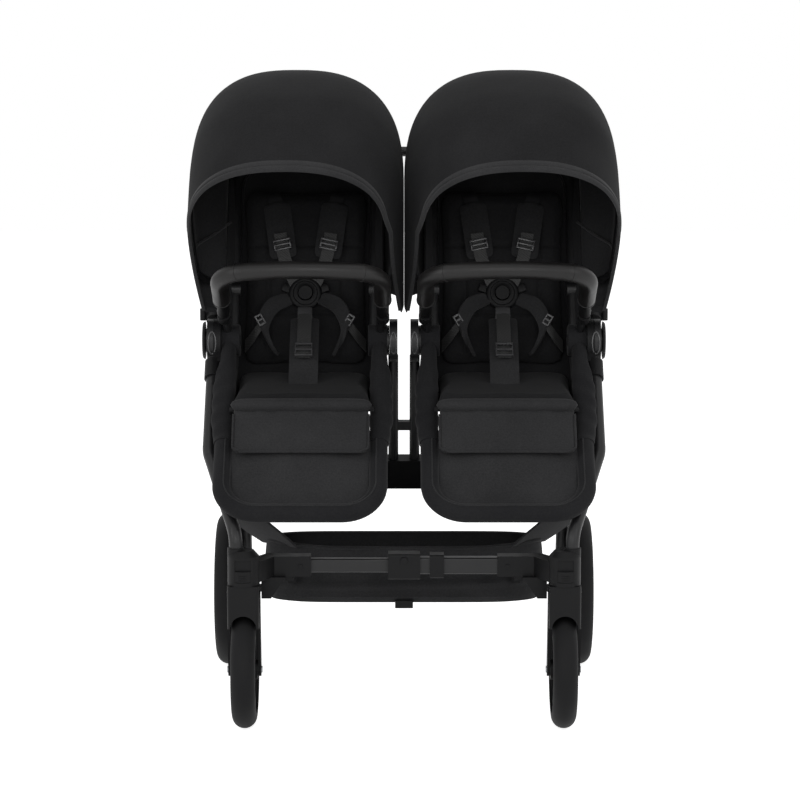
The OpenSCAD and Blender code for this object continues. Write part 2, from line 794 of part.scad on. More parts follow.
module seat_frame(side) {
    socket = [-bumper_out, socket_y, socket_z];
    color(tube_black) on_side(side) difference() {
        union() {
            seat_tubes(0);
            across(-seat_boss_out, -loop_out + 20, hub_y, hub_z, seat_boss_r);
            across(-loop_in - 20, -seat_boss_in, hub_y, hub_z, seat_boss_r);
            seat_pair() {
                rod([-loop_out, hub_y, hub_z], socket + socket_dir * 8 + [3.5, 0, 0], 7.5);
                rod(socket, socket + socket_dir * socket_h, socket_r);
                across(-stud_face, -back_out + 12, pivot_y, pivot_z, seat_tube_r + 4);
                across(-stud_face - 2 * arm_plate - 1, -back_out, pivot_y, pivot_z, canopy_stud_r);
            }
        }
        across(-seat_boss_out - 1, -loop_out + 21, hub_y, hub_z, hub_pin_r + play);
        across(-loop_in - 21, -seat_boss_in + 1, hub_y, hub_z, hub_pin_r + play);
        seat_pair() rod(socket + socket_dir * 4, socket + socket_dir * (socket_h + 1), bumper_stub_r + play);
    }
}

// Places a shape on the backrest, with Z up the back and -Y out of its front
module on_back() {
    translate([-seat_x, pan_rear, pan_z]) rotate([-back_tilt, 0, 0]) children();
}

module seat_shell(side) {
    half = back_half;
    color(cloth_black) on_side(side) difference() {
        union() {
            translate([-seat_x - half, pan_front, pan_z - cloth_t]) cube([2 * half, pan_rear - pan_front + 2, cloth_t]);
            on_back() translate([-half, 0, -cloth_t]) cube([2 * half, cloth_t, back_l]);
            seat_pair() side_plate(-seat_x - half, -seat_x - half + cloth_t)
                polygon([[pan_front + 55, pan_z - cloth_t], [hub_y + 5, hub_z + 4], [back_top_y - 12, back_top_z - 20],
                    [pan_rear + back_dir.y * back_l, pan_z + back_dir.z * back_l - 4], [pan_rear, pan_z - cloth_t]]);
        }
        seat_tubes(gap);
        across(-2 * seat_x, 0, hub_y, hub_z, seat_boss_r + gap);
        seat_pair() across(-stud_face - 1, -back_out + 12 + gap, pivot_y, pivot_z, seat_tube_r + 4 + gap);
    }
}

// A pad with a crowned face, a flat underside and sides that pull in between its corners
pad_cells = 12;
function pad_point(u, v, w, l, pull, z) = [u * (w / 2 - pull * (1 - v * v)), v * (l / 2 - pull * (1 - u * u)), z];
function crown(u, v) = sqrt((1 - pow(u, 4)) * (1 - pow(v, 4)));

module pad(w, l, edge, top, pull) {
    n = pad_cells;
    steps = [for (i = [0 : n]) 2 * i / n - 1];
    upper = [for (v = steps, u = steps) pad_point(u, v, w, l, pull, edge + (top - edge) * crown(u, v))];
    lower = [for (v = steps, u = steps) pad_point(u, v, w, l, pull, 0)];
    half = (n + 1) * (n + 1);
    rim = concat([for (i = [0 : n - 1]) i], [for (i = [0 : n - 1]) i * (n + 1) + n],
        [for (i = [0 : n - 1]) n * (n + 1) + n - i], [for (i = [0 : n - 1]) (n - i) * (n + 1)]);
    faces = concat(
        [for (i = [0 : n - 1], j = [0 : n - 1]) let (a = i * (n + 1) + j) [a, a + n + 1, a + n + 2]],
        [for (i = [0 : n - 1], j = [0 : n - 1]) let (a = i * (n + 1) + j) [a, a + n + 2, a + 1]],
        [for (i = [0 : n - 1], j = [0 : n - 1]) let (a = half + i * (n + 1) + j) [a, a + n + 2, a + n + 1]],
        [for (i = [0 : n - 1], j = [0 : n - 1]) let (a = half + i * (n + 1) + j) [a, a + 1, a + n + 2]],
        [for (k = [0 : 4 * n - 1]) let (a = rim[k], b = rim[(k + 1) % (4 * n)]) [a, b, b + half]],
        [for (k = [0 : 4 * n - 1]) let (a = rim[k], b = rim[(k + 1) % (4 * n)]) [a, b + half, a + half]]);
    polyhedron(points = concat(upper, lower), faces = faces);
}

pad_edge = 9;
seat_pad_rear = pan_rear - pad_t - 4;

module seat_pad(side) {
    l = seat_pad_rear - pan_front;
    color(cloth_black) on_side(side) translate([-seat_x, pan_front + l / 2, pan_z + gap])
        pad(2 * (back_half - cloth_t) - 8, l, pad_edge, pad_t, 5);
}

back_pad_l = back_l - 44;

module back_pad(side) {
    color(cloth_black) on_side(side) on_back() translate([0, -gap, back_pad_l / 2 + 6]) rotate([90, 0, 0])
        pad(2 * (back_half - seat_tube_r) - 6, back_pad_l, pad_edge, pad_t, 5);
}

// Leg rest: a flap over the knee edge and a panel inside the leg loop
flap_end_y = -283;
flap_end_z = 478;
flap_half = loop_half - seat_tube_r - 3;
panel_from = 246;
panel_t = 8;

module leg_rest(side) {
    reach = norm([toe_y - hub_y, toe_z - hub_z]);
    half = loop_half - seat_tube_r - gap;
    panel_to = reach - seat_tube_r - gap;
    corner = loop_bend - seat_tube_r - gap;
    color(cloth_black) on_side(side) {
        side_plate(-seat_x - flap_half, -seat_x + flap_half)
            polygon([[pan_front - gap, pan_z - 6], [pan_front - gap, pan_z + pad_t - 4], [pan_front - 11, pan_z + pad_t - 9],
                [flap_end_y, flap_end_z], [flap_end_y + 8, flap_end_z - 11]]);
        translate([-seat_x, hub_y, hub_z]) rotate([atan2(-toe_dir.z, -toe_dir.y), 0, 0])
            translate([0, 0, -panel_t / 2]) linear_extrude(panel_t) {
                translate([-half, -panel_to + corner]) square([2 * half, panel_to - corner - panel_from]);
                translate([-half + corner, -panel_to]) square([2 * (half - corner), corner + 1]);
                for (s = [-1, 1]) translate([s * (half - corner), -panel_to + corner]) circle(r = corner);
            }
    }
}

// Harness on the backrest: two shoulder pads, their straps, the buckle and the crotch strap
strap_x = 40;
shoulder_w = 44;
shoulder_from = 215;
shoulder_to = 345;
shoulder_t = 9;
buckle_s = 178;
buckle_r = 30;
buckle_t = 14;
crotch_w = 40;
crotch_foot_y = -100;
// The crotch strap ends at the lower edge of the buckle
crotch_top = [pan_rear, pan_z] + (buckle_s - buckle_r + 6) * [back_dir.y, back_dir.z]
    + (pad_t + buckle_t / 2) * [-back_dir.z, back_dir.y];

module harness(side) {
    face = -pad_t - 2 * gap;
    color(cloth_black) on_side(side) {
        on_back() difference() {
            union() {
                for (s = [-1, 1]) {
                    translate([s * strap_x - shoulder_w / 2, face - shoulder_t, shoulder_from])
                        cube([shoulder_w, shoulder_t, shoulder_to - shoulder_from]);
                    translate([s * strap_x, face - 5, shoulder_from + 4]) rotate([0, -s * 135, 0])
                        translate([-12, 0, 0]) cube([24, 3, 60]);
                }
                translate([0, face, buckle_s]) rotate([90, 0, 0]) cylinder(h = buckle_t, r = buckle_r);
            }
            translate([0, face - buckle_t + 6, buckle_s]) rotate([90, 0, 0]) cylinder(h = 20, r = buckle_button_r + gap);
        }
        side_plate(-seat_x - crotch_w / 2, -seat_x + crotch_w / 2)
            polygon([[crotch_foot_y, pan_z + pad_t + 2 * gap], [crotch_foot_y + 10, pan_z + pad_t + 2 * gap],
                [crotch_top.x + 3, crotch_top.y - 4], crotch_top]);
    }
}

buckle_button_r = 13;

module buckle_button(side) {
    face = -pad_t - 2 * gap - buckle_t;
    color(plastic_black) on_side(side) on_back() translate([0, face + 3, buckle_s]) rotate([90, 0, 0])
        cylinder(h = 5, r = buckle_button_r);
}

// Bumper bar: a bowed bar on two stubs that plug into the seat frame
function bar_point(at) = [-bumper_out, socket_y, socket_z] + socket_dir * at;
arm_l = 215;
corner_bend = 60;
bow_bend = 400;
bar_end_r = 11;
bar_end_from = socket_h + 9;
bar_end_to = 93;
bar_button_r = 6;
bar_button_at = bar_point((bar_end_from + bar_end_to) / 2);

module bumper_bar(side) {
    foot = bar_point(5);
    head = bar_point(bar_end_from);
    sleeve = bar_point(bar_end_to);
    corner = bar_point(arm_l);
    function other(p) = [-seat_spacing - p.x, p.y, p.z];
    color(leather_black) on_side(side) difference() {
        union() {
            bent_tube([sleeve, corner, [-seat_x, bumper_y, bumper_z], other(corner), other(sleeve)],
                [0, corner_bend, bow_bend, corner_bend, 0], bumper_r);
            seat_pair() {
                rod(head, sleeve + socket_dir * 4, bar_end_r);
                rod(foot, head + socket_dir * 4, bumper_stub_r);
            }
        }
        across(-bumper_out - bar_end_r - 1, -bumper_out - bar_end_r + 6, bar_button_at.y, bar_button_at.z, bar_button_r + gap);
    }
}

module bar_button(side) {
    color(plastic_black) on_side(side)
        across(-bumper_out - bar_end_r - 2, -bumper_out - bar_end_r + 3, bar_button_at.y, bar_button_at.z, bar_button_r);
}

// Canopies: shells of revolution about the canopy pivot, with flat arms near it
canopy_power = 2.6;
canopy_steps = 14;
arm_root = 9;
flare_from = 60;
flare_to = 200;
rear_canopy_r = canopy_r - 10;
rear_from = -30;
rear_to = 8;
wall_low = 294;
front_from = 4;

function power(v, p) = (v < 0 ? -1 : 1) * pow(abs(v), p);
function arch(xo, xi, top) = [for (i = [0 : canopy_steps]) let (t = 180 * i / canopy_steps)
    [flare_to + (top - flare_to) * pow(abs(sin(t)), 2 / canopy_power),
        (xo + xi) / 2 + (xo - xi) / 2 * power(cos(t), 2 / canopy_power)]];
function outline(arm_o, arm_i, xo, xi, top) = concat([[arm_root, arm_o], [flare_from, arm_o]],
    arch(xo, xi, top), [[flare_from, arm_i], [arm_root, arm_i]]);
function flip_list(list) = [for (i = [len(list) - 1 : -1 : 0]) list[i]];

// Revolves a profile of radius and X about the canopy pivot, between two angles ahead of upright
module canopy_sweep(from, to) {
    translate([0, pivot_y, pivot_z]) rotate([0, -90, 0]) rotate([0, 0, -to]) rotate_extrude(angle = to - from) children();
}

module canopy_front(side) {
    arm_o = stud_face + 2 * arm_plate + 2 * gap;
    arm_i = seat_spacing - arm_o;
    color(cloth_black) on_side(side) difference() {
        union() {
            canopy_sweep(front_from, rim_angle) polygon(concat(outline(arm_o, arm_i, canopy_out, canopy_in, canopy_r),
                flip_list(outline(arm_o - arm_plate, arm_i + arm_plate, canopy_out - canopy_t, canopy_in + canopy_t,
                    canopy_r - canopy_t))));
            seat_pair() across(-arm_o + 0.2, -arm_o + arm_plate - 0.2, pivot_y, pivot_z, 13);
        }
        across(-2 * canopy_out, 0, pivot_y, pivot_z, canopy_stud_r + play);
    }
}

module canopy_rear(side) {
    arm_o = stud_face + gap + arm_plate;
    arm_i = seat_spacing - arm_o;
    color(cloth_black) on_side(side) difference() {
        union() {
            canopy_sweep(rear_from, rear_to) polygon(concat(outline(arm_o, arm_i, arm_o, arm_i, rear_canopy_r),
                flip_list(outline(arm_o - arm_plate, arm_i + arm_plate, arm_o - canopy_t, arm_i + canopy_t,
                    rear_canopy_r - canopy_t))));
            canopy_sweep(rear_from + 0.2, rear_from + 0.8) intersection() {
                polygon(arch(arm_o - canopy_t / 2, arm_i + canopy_t / 2, rear_canopy_r - canopy_t / 2));
                translate([wall_low, 0]) square([rear_canopy_r, 2 * seat_spacing]);
            }
            seat_pair() across(-arm_o + 0.2, -arm_o + arm_plate - 0.2, pivot_y, pivot_z, 13);
        }
        across(-2 * canopy_out, 0, pivot_y, pivot_z, canopy_stud_r);
    }
}

// Recline handle: a squeeze paddle that turns on the top tube behind the backrest
paddle_half = 40;
paddle_l = 55;

module recline_handle(side) {
    color(plastic_black) on_side(side) translate([-seat_x, 0, 0]) difference() {
        union() {
            across(-paddle_half, paddle_half, back_top_y, back_top_z, seat_tube_r + paddle_wall);
            side_plate(-paddle_half, paddle_half) translate([back_top_y, back_top_z]) rotate(-60)
                translate([0, -3]) square([paddle_l, 6]);
        }
        across(-paddle_half - 1, paddle_half + 1, back_top_y, back_top_z, seat_tube_r + play);
    }
}

// Drawing

front_legs();
outer_hubs();
frame_fasteners();
front_arms();
front_cross_bar();
cross_bar_clamps();
swivel_housings();
handle_sleeves();
basket();
basket_hooks();
width_lock_button();
rear_legs();
rear_beam();
center_posts();
rear_axle();
brake_pedal();
handle_frame();
handle_grip();
for (side = SIDES) {
    swivel_lock(side);
    handle_lever(side);
    brake_pin(side);
    fork(side);
    front_axle(side);
    front_tyre(side);
    front_rim(side);
    rear_tyre(side);
    rear_rim(side);
    seat_frame(side);
    seat_shell(side);
    seat_pad(side);
    back_pad(side);
    leg_rest(side);
    harness(side);
    buckle_button(side);
    bumper_bar(side);
    bar_button(side);
    canopy_rear(side);
    canopy_front(side);
    recline_handle(side);
}
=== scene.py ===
"""Looks of the side by side double stroller, dressed over its CAD frame.

Sizes are in millimetres until they are placed.
"""
import json
import math
import bpy
from mathutils import Matrix, Vector

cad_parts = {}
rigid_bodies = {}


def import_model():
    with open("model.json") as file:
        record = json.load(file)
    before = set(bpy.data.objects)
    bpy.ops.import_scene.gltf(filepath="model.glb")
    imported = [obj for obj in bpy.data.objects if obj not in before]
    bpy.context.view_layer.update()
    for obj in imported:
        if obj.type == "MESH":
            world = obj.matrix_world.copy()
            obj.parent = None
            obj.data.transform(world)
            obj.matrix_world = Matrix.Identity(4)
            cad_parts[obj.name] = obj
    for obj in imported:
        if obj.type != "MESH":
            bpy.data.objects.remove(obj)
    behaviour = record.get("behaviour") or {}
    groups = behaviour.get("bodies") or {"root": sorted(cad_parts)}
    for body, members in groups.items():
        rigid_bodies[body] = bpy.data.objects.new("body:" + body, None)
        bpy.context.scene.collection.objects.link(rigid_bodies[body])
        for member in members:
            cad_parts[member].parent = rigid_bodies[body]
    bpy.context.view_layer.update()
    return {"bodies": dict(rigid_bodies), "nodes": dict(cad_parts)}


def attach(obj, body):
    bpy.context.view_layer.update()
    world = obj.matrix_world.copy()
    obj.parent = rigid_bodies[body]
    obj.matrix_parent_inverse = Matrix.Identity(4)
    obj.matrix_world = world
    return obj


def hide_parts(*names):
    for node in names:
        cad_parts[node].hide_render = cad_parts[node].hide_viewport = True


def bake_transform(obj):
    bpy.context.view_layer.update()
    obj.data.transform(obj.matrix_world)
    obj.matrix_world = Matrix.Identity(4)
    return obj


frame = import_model()
MM = 0.001

# The left half is modelled, and the right half is its mirror image
SEAT_X = -186
HUB = Vector((0, -15, 656))
HUB_R = 40
PIVOT = Vector((0, 35, 745))
TOE = Vector((0, -355, 394))
LOOP_HALF = 140
LOOP_BEND = 65
BACK_HALF = 132
PAN_Z = 556
PAN_FRONT = -205
PAN_REAR = 40
BACK_UP = Vector((0, 132, 424)).normalized()
BACK_OUT = Vector((0, -BACK_UP.z, BACK_UP.y))
CLOTH_T = 2.2


# Materials

def tone(code):
    """A colour written as sRGB hex, as linear light."""
    parts = [int(code[i:i + 2], 16) / 255 for i in (1, 3, 5)]
    return tuple(c / 12.92 if c <= 0.04045 else ((c + 0.055) / 1.055) ** 2.4 for c in parts) + (1,)


def add_node(tree, kind, values=None, links=None, **settings):
    made = tree.nodes.new(kind)
    for name, value in settings.items():
        setattr(made, name, value)
    for socket, value in (values or {}).items():
        made.inputs[socket].default_value = value
    for socket, source in (links or {}).items():
        tree.links.new(source, made.inputs[socket])
    return made


def finish_of(name, base, roughness, **sockets):
    """A principled finish with its colour, and the tree to build its pattern in."""
    made = bpy.data.materials.new(name)
    made.use_nodes = True
    shader = made.node_tree.nodes["Principled BSDF"]
    shader.inputs["Base Color"].default_value = tone(base)
    shader.inputs["Roughness"].default_value = roughness
    for socket, value in sockets.items():
        shader.inputs[socket.replace("_", " ")].default_value = value
    made.diffuse_color = tone(base)
    return made, made.node_tree, shader


def two_tone(tree, share, dark, light, start=0, end=1):
    """A ramp from a dark tone to a light one."""
    ramp = add_node(tree, "ShaderNodeValToRGB", None, {"Fac": share})
    for stop, place, code in zip(ramp.color_ramp.elements, (start, end), (dark, light)):
        stop.position = place
        stop.color = tone(code)
    return ramp


# Waves that a wave texture draws along one unit at a scale of one, and bump heights in metres
WAVES_PER_SCALE = 3.2
WEAVE_RELIEF = 0.0006
GRAIN_RELIEF = 0.0005


def woven_canvas(name, dark, light, roughness, thread_mm, depth, sheen):
    """Polyester canvas in a plain weave: matt, with a faint fuzz and threads that differ in tone."""
    made, tree, shader = finish_of(name, dark, roughness, Sheen_Weight=sheen, Sheen_Roughness=0.5)
    shader.inputs["Specular IOR Level"].default_value = 0.08
    place = add_node(tree, "ShaderNodeTexCoord").outputs["Object"]
    threads = {"Scale": 1 / (thread_mm * MM) / WAVES_PER_SCALE, "Distortion": 1.5, "Detail": 1.0}
    warp = add_node(tree, "ShaderNodeTexWave", threads, {"Vector": place}, bands_direction="X")
    weft = add_node(tree, "ShaderNodeTexWave", threads, {"Vector": place}, bands_direction="Z")
    weave = add_node(tree, "ShaderNodeMath", None, {0: warp.outputs["Fac"], 1: weft.outputs["Fac"]},
                     operation="MULTIPLY")
    # Yarn flecks about 3 mm long, and a slow drift of tone as the cloth picks up dust and rubs
    fleck = add_node(tree, "ShaderNodeTexNoise", {"Scale": 330.0, "Detail": 3.0, "Roughness": 0.7},
                     {"Vector": place})
    drift = add_node(tree, "ShaderNodeTexNoise", {"Scale": 11.0, "Detail": 2.0}, {"Vector": place})
    spread = add_node(tree, "ShaderNodeMath", {1: 0.6}, {0: fleck.outputs["Fac"]}, operation="MULTIPLY")
    both = add_node(tree, "ShaderNodeMath", {1: 0.4}, {0: drift.outputs["Fac"], 2: spread.outputs[0]},
                    operation="MULTIPLY_ADD")
    ramp = two_tone(tree, both.outputs[0], dark, light, 0.34, 0.68)
    relief = add_node(tree, "ShaderNodeMath", {1: 0.5}, {0: fleck.outputs["Fac"], 2: weave.outputs[0]},
                      operation="MULTIPLY_ADD")
    bump = add_node(tree, "ShaderNodeBump", {"Strength": depth, "Distance": WEAVE_RELIEF},
                    {"Height": relief.outputs[0]})
    tree.links.new(ramp.outputs["Color"], shader.inputs["Base Color"])
    tree.links.new(bump.outputs["Normal"], shader.inputs["Normal"])
    return made


def grained(name, dark, light, roughness, grain_mm, depth, patchy, **sockets):
    """A surface with a fine even grain, such as powder coat, spark eroded plastic or rubber."""
    made, tree, shader = finish_of(name, dark, roughness, **sockets)
    place = add_node(tree, "ShaderNodeTexCoord").outputs["Object"]
    grain = add_node(tree, "ShaderNodeTexVoronoi", {"Scale": 1 / (grain_mm * MM), "Randomness": 1.0},
                     {"Vector": place}, feature="F1")
    drift = add_node(tree, "ShaderNodeTexNoise", {"Scale": 18.0, "Detail": 4.0, "Roughness": 0.6},
                     {"Vector": place})
    ramp = two_tone(tree, drift.outputs["Fac"], dark, light, 0.3, 0.72)
    wear = {"From Min": 0.3, "From Max": 0.7, "To Min": roughness - patchy, "To Max": roughness + patchy}
    rub = add_node(tree, "ShaderNodeMapRange", wear, {"Value": drift.outputs["Fac"]})
    bump = add_node(tree, "ShaderNodeBump", {"Strength": depth, "Distance": GRAIN_RELIEF},
                    {"Height": grain.outputs["Distance"]})
    tree.links.new(ramp.outputs["Color"], shader.inputs["Base Color"])
    tree.links.new(rub.outputs["Result"], shader.inputs["Roughness"])
    tree.links.new(bump.outputs["Normal"], shader.inputs["Normal"])
    return made


def ribbed_webbing(name, dark, light):
    """Woven polyester strap: fine ribs across its run and a dull sheen."""
    made, tree, shader = finish_of(name, dark, 0.7, Sheen_Weight=0.06)
    place = add_node(tree, "ShaderNodeTexCoord").outputs["Object"]
    # Ribs of 1.6 mm are drawn at 3 mm, so that they show
    ribs = add_node(tree, "ShaderNodeTexWave", {"Scale": 105.0, "Distortion": 0.4}, {"Vector": place},
                    bands_direction="DIAGONAL")
    ramp = two_tone(tree, ribs.outputs["Fac"], dark, light)
    bump = add_node(tree, "ShaderNodeBump", {"Strength": 0.35, "Distance": WEAVE_RELIEF},
                    {"Height": ribs.outputs["Fac"]})
    tree.links.new(ramp.outputs["Color"], shader.inputs["Base Color"])
    tree.links.new(bump.outputs["Normal"], shader.inputs["Normal"])
    return made


# Threads about 0.5 mm apart and grains below 1 mm are drawn at 1 to 2.6 mm, so that they show
# Polyester canvas: matt black, dark in the linings and sleeves, lighter on the hems, seats and basket
canopy_canvas = woven_canvas("canopy_canvas", "#1d1d1e", "#282829", 0.85, 2.6, 0.25, 0.04)
hem_canvas = woven_canvas("hem_canvas", "#242425", "#313132", 0.75, 2.6, 0.3, 0.08)
seat_canvas = woven_canvas("seat_canvas", "#232324", "#303031", 0.85, 2.6, 0.3, 0.05)
sleeve_canvas = woven_canvas("sleeve_canvas", "#18181a", "#222223", 0.85, 2.6, 0.3, 0.04)
lining_cloth = woven_canvas("lining_cloth", "#1a1a1b", "#242425", 0.9, 2.2, 0.2, 0.02)
basket_canvas = woven_canvas("basket_canvas", "#252526", "#333334", 0.8, 2.6, 0.3, 0.05)
# Powder coat on tube: satin black, with a soft highlight along each tube
powder_coat = grained("powder_coated_tube", "#121213", "#181819", 0.42, 1.1, 0.08, 0.05,
                      Specular_IOR_Level=0.28)
# Nylon: near black and dull from a spark eroded mould; on the small glossy parts a grey base colour is a
# painted highlight, besides the real sharp highlights of a low roughness
moulded_nylon = grained("moulded_nylon", "#0a0a0b", "#101011", 0.52, 1.3, 0.12, 0.06,
                        Specular_IOR_Level=0.14)
# Painted highlight: the grey base colour stands in for the shine on black glossy nylon
glossy_nylon_painted_highlight = grained("polished_nylon", "#343435", "#404041", 0.26, 1.3, 0.05, 0.04)
# Coated cloth embossed like leather: black with a brown cast and a broken satin shine
leather_cloth = grained("leather_cloth", "#100f0f", "#171616", 0.44, 2.2, 0.3, 0.08,
                        Specular_IOR_Level=0.26)
# Foamed rubber: dull and even
foam_rubber = grained("foam_tyre_rubber", "#0f0f10", "#171718", 0.72, 1.6, 0.2, 0.08,
                      Specular_IOR_Level=0.15)
# Zinc plating on steel: pale grey metal with a faint bloom
zinc_steel = grained("zinc_plated_steel", "#7d7f82", "#95979a", 0.35, 1.2, 0.05, 0.08, Metallic=1.0)
# Webbing and thread: ribs and stitches a little paler than the cloth round them
webbing = ribbed_webbing("harness_webbing", "#1a1a1a", "#2a2a2a")
sewing_thread = grained("sewing_thread", "#3a3a3b", "#4a4a4b", 0.7, 1.0, 0.2, 0.05)


# Modelling helpers

def clear_selection():
    bpy.ops.object.select_all(action="DESELECT")


def pick(piece):
    """Makes a piece the only one selected, and the active one."""
    clear_selection()
    piece.select_set(True)
    bpy.context.view_layer.objects.active = piece


def paint(piece, material):
    piece.data.materials.clear()
    piece.data.materials.append(material)
    return piece


def named(name):
    piece = bpy.context.object
    piece.name = name
    piece.data.name = name
    return piece


def settle(piece):
    """Puts a piece's place into its mesh, so that its object sits at the origin."""
    pick(piece)
    bpy.ops.object.transform_apply(location=True, rotation=True, scale=True)
    return piece


def apply_modifier(piece, kind, **settings):
    pick(piece)
    made = piece.modifiers.new(kind.title(), kind)
    for name, value in settings.items():
        setattr(made, name, value)
    bpy.ops.object.modifier_apply(modifier=made.name)
    return piece


def smooth(piece, degrees):
    pick(piece)
    bpy.ops.object.shade_smooth_by_angle(angle=math.radians(degrees))
    return piece


def cloth_grid(name, columns, rows, place, material, thickness=0, rounds=0, outward=None, lining=None):
    """A sheet whose points are placed by a function of two shares, then thickened, lined and rounded."""
    clear_selection()
    bpy.ops.mesh.primitive_grid_add(x_subdivisions=columns, y_subdivisions=rows, size=2)
    piece = named(name)
    for corner in piece.data.vertices:
        corner.co = Vector(place((corner.co.x + 1) / 2, (corner.co.y + 1) / 2)) * MM
    if outward is not None:
        middle = piece.data.polygons[len(piece.data.polygons) // 2]
        if middle.normal.dot(Vector(outward)) < 0:
            piece.data.flip_normals()
    paint(piece, material)
    if thickness:
        if lining:
            piece.data.materials.append(lining)
        apply_modifier(piece, "SOLIDIFY", thickness=thickness * MM, offset=-1,
                       material_offset=1 if lining else 0)
    if rounds:
        apply_modifier(piece, "SUBSURF", levels=rounds, render_levels=rounds)
    return smooth(piece, 60)


def wrapped(name, around, along_it, place, material, thickness=0):
    """A sheet that closes on itself round its first share, as a tub, a roll or a turned moulding does."""
    piece = cloth_grid(name, around, along_it, place, material)
    edit_all(piece)
    bpy.ops.mesh.remove_doubles(threshold=0.00005)
    bpy.ops.mesh.normals_make_consistent(inside=False)
    bpy.ops.object.mode_set(mode="OBJECT")
    if thickness:
        apply_modifier(piece, "SOLIDIFY", thickness=thickness * MM, offset=-1)
    return smooth(piece, 45)


def edit_all(piece):
    """Opens a piece in edit mode with all of it selected."""
    pick(piece)
    bpy.ops.object.mode_set(mode="EDIT")
    bpy.ops.mesh.select_all(action="SELECT")


def tube(name, points, radius, material, closed=False, sides=6):
    """A round cord or rod along points."""
    curve = bpy.data.curves.new(name, "CURVE")
    curve.dimensions = "3D"
    line = curve.splines.new("POLY")
    line.points.add(len(points) - 1)
    for spot, point in zip(line.points, points):
        spot.co = (*(Vector(point) * MM), 1)
    line.use_cyclic_u = closed
    curve.bevel_depth = radius * MM
    curve.bevel_resolution = sides
    curve.use_fill_caps = True
    piece = bpy.data.objects.new(name, curve)
    bpy.context.scene.collection.objects.link(piece)
    pick(piece)
    bpy.ops.object.convert(target="MESH")
    piece = named(name)
    smooth(piece, 50)
    return paint(piece, material)


def arc_points(points, bends, steps):
    """Points along a bent line, with a round of the given radius at each inner point."""
    out = [Vector(points[0])]
    for before, corner, after, bend in zip(points, points[1:], points[2:], bends):
        corner = Vector(corner)
        come = (corner - Vector(before)).normalized()
        go = (Vector(after) - corner).normalized()
        angle = come.angle(go)
        middle = corner + (go - come).normalized() * (bend / math.cos(angle / 2))
        start = corner - come * bend * math.tan(angle / 2) - middle
        axis = come.cross(go).normalized()
        out += [middle + Matrix.Rotation(angle * i / steps, 3, axis) @ start for i in range(steps + 1)]
    return out + [Vector(points[-1])]


def along(points, share):
    """A smooth run through points."""
    place = min(max(share, 0), 1) * (len(points) - 1)
    i = min(int(place), len(points) - 2)
    t = place - i
    before = points[max(i - 1, 0)]
    after = points[min(i + 2, len(points) - 1)]
    a, b = points[i], points[i + 1]
    return 0.5 * ((2 * a) + (b - before) * t + (2 * before - 5 * a + 4 * b - after) * t * t
                  + (3 * a - before - 3 * b + after) * t ** 3)


def ease(share):
    share = min(max(share, 0), 1)
    return share * share * (3 - 2 * share)


def block(name, size, middle, material, bevel, turn=(0, 0, 0)):
    """A moulded block with rounded edges."""
    clear_selection()
    bpy.ops.mesh.primitive_cube_add(size=1)
    piece = named(name)
    for corner in piece.data.vertices:
        corner.co = Vector(a * b * MM for a, b in zip(corner.co, size))
    apply_modifier(piece, "BEVEL", width=bevel * MM, segments=2, limit_method="ANGLE")
    piece.rotation_euler = [math.radians(a) for a in turn]
    piece.location = Vector(middle) * MM
    settle(piece)
    smooth(piece, 35)
    return paint(piece, material)


def join(name, pieces):
    clear_selection()
    for piece in pieces:
        piece.select_set(True)
    bpy.context.view_layer.objects.active = pieces[0]
    bpy.ops.object.join()
    return named(name)


def mirrored(piece, name):
    """The same piece on the other side of the stroller, with its own mesh."""
    other = piece.copy()
    other.data = piece.data.copy()
    other.name = name
    other.data.name = name
    bpy.context.scene.collection.objects.link(other)
    other.data.transform(Matrix.Scale(-1, 4, (1, 0, 0)))
    other.data.flip_normals()
    return other


SIDES = ("left_", "right_")


def fit_pair(piece, body, stands_for, after=None):
    """Gives a left piece its mirror image, and puts each on its own body, or hands each to a given step
    instead.
    """
    base = piece.name
    other = mirrored(piece, "right_" + base)
    piece.name = "left_" + base
    for side, made in zip(SIDES, (piece, other)):
        where = body if body in frame["bodies"] else side + body
        if after:
            after(made, side)
        else:
            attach(made, where)
        if stands_for:
            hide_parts(*[n if n in frame["nodes"] else side + n for n in stands_for])
    return piece, other


# Camera at the photograph's place: a long lens in front of the stroller, a little above it

camera = bpy.data.cameras.new("front_view")
camera.lens = 135
camera.sensor_width = 36
camera.shift_y = 0.002
viewer = bpy.data.objects.new("front_view", camera)
viewer.location = (-0.0074, -5.564, 1.419)
viewer.rotation_euler = (math.radians(81), 0, 0)
bpy.context.scene.collection.objects.link(viewer)
bpy.context.scene.camera = viewer


# Light and backdrop

def soft_lamp(name, place, aim, size, power):
    light = bpy.data.lights.new(name, "AREA")
    light.shape = "RECTANGLE"
    light.size, light.size_y = size
    light.energy = power
    lamp = bpy.data.objects.new(name, light)
    lamp.location = place
    lamp.rotation_euler = (Vector(aim) - Vector(place)).to_track_quat("-Z", "Y").to_euler()
    bpy.context.scene.collection.objects.link(lamp)


soft_lamp("top_softbox", (0, -0.6, 3.2), (0, 0, 0.6), (2.6, 2.2), 12)
soft_lamp("front_softbox", (0, -4.6, 2.2), (0, 0, 0.7), (3.2, 2.0), 60)
soft_lamp("left_softbox", (-2.8, -2.2, 1.9), (0, 0, 0.6), (1.4, 2.4), 30)
soft_lamp("right_softbox", (2.8, -2.2, 1.9), (0, 0, 0.6), (1.4, 2.4), 24)

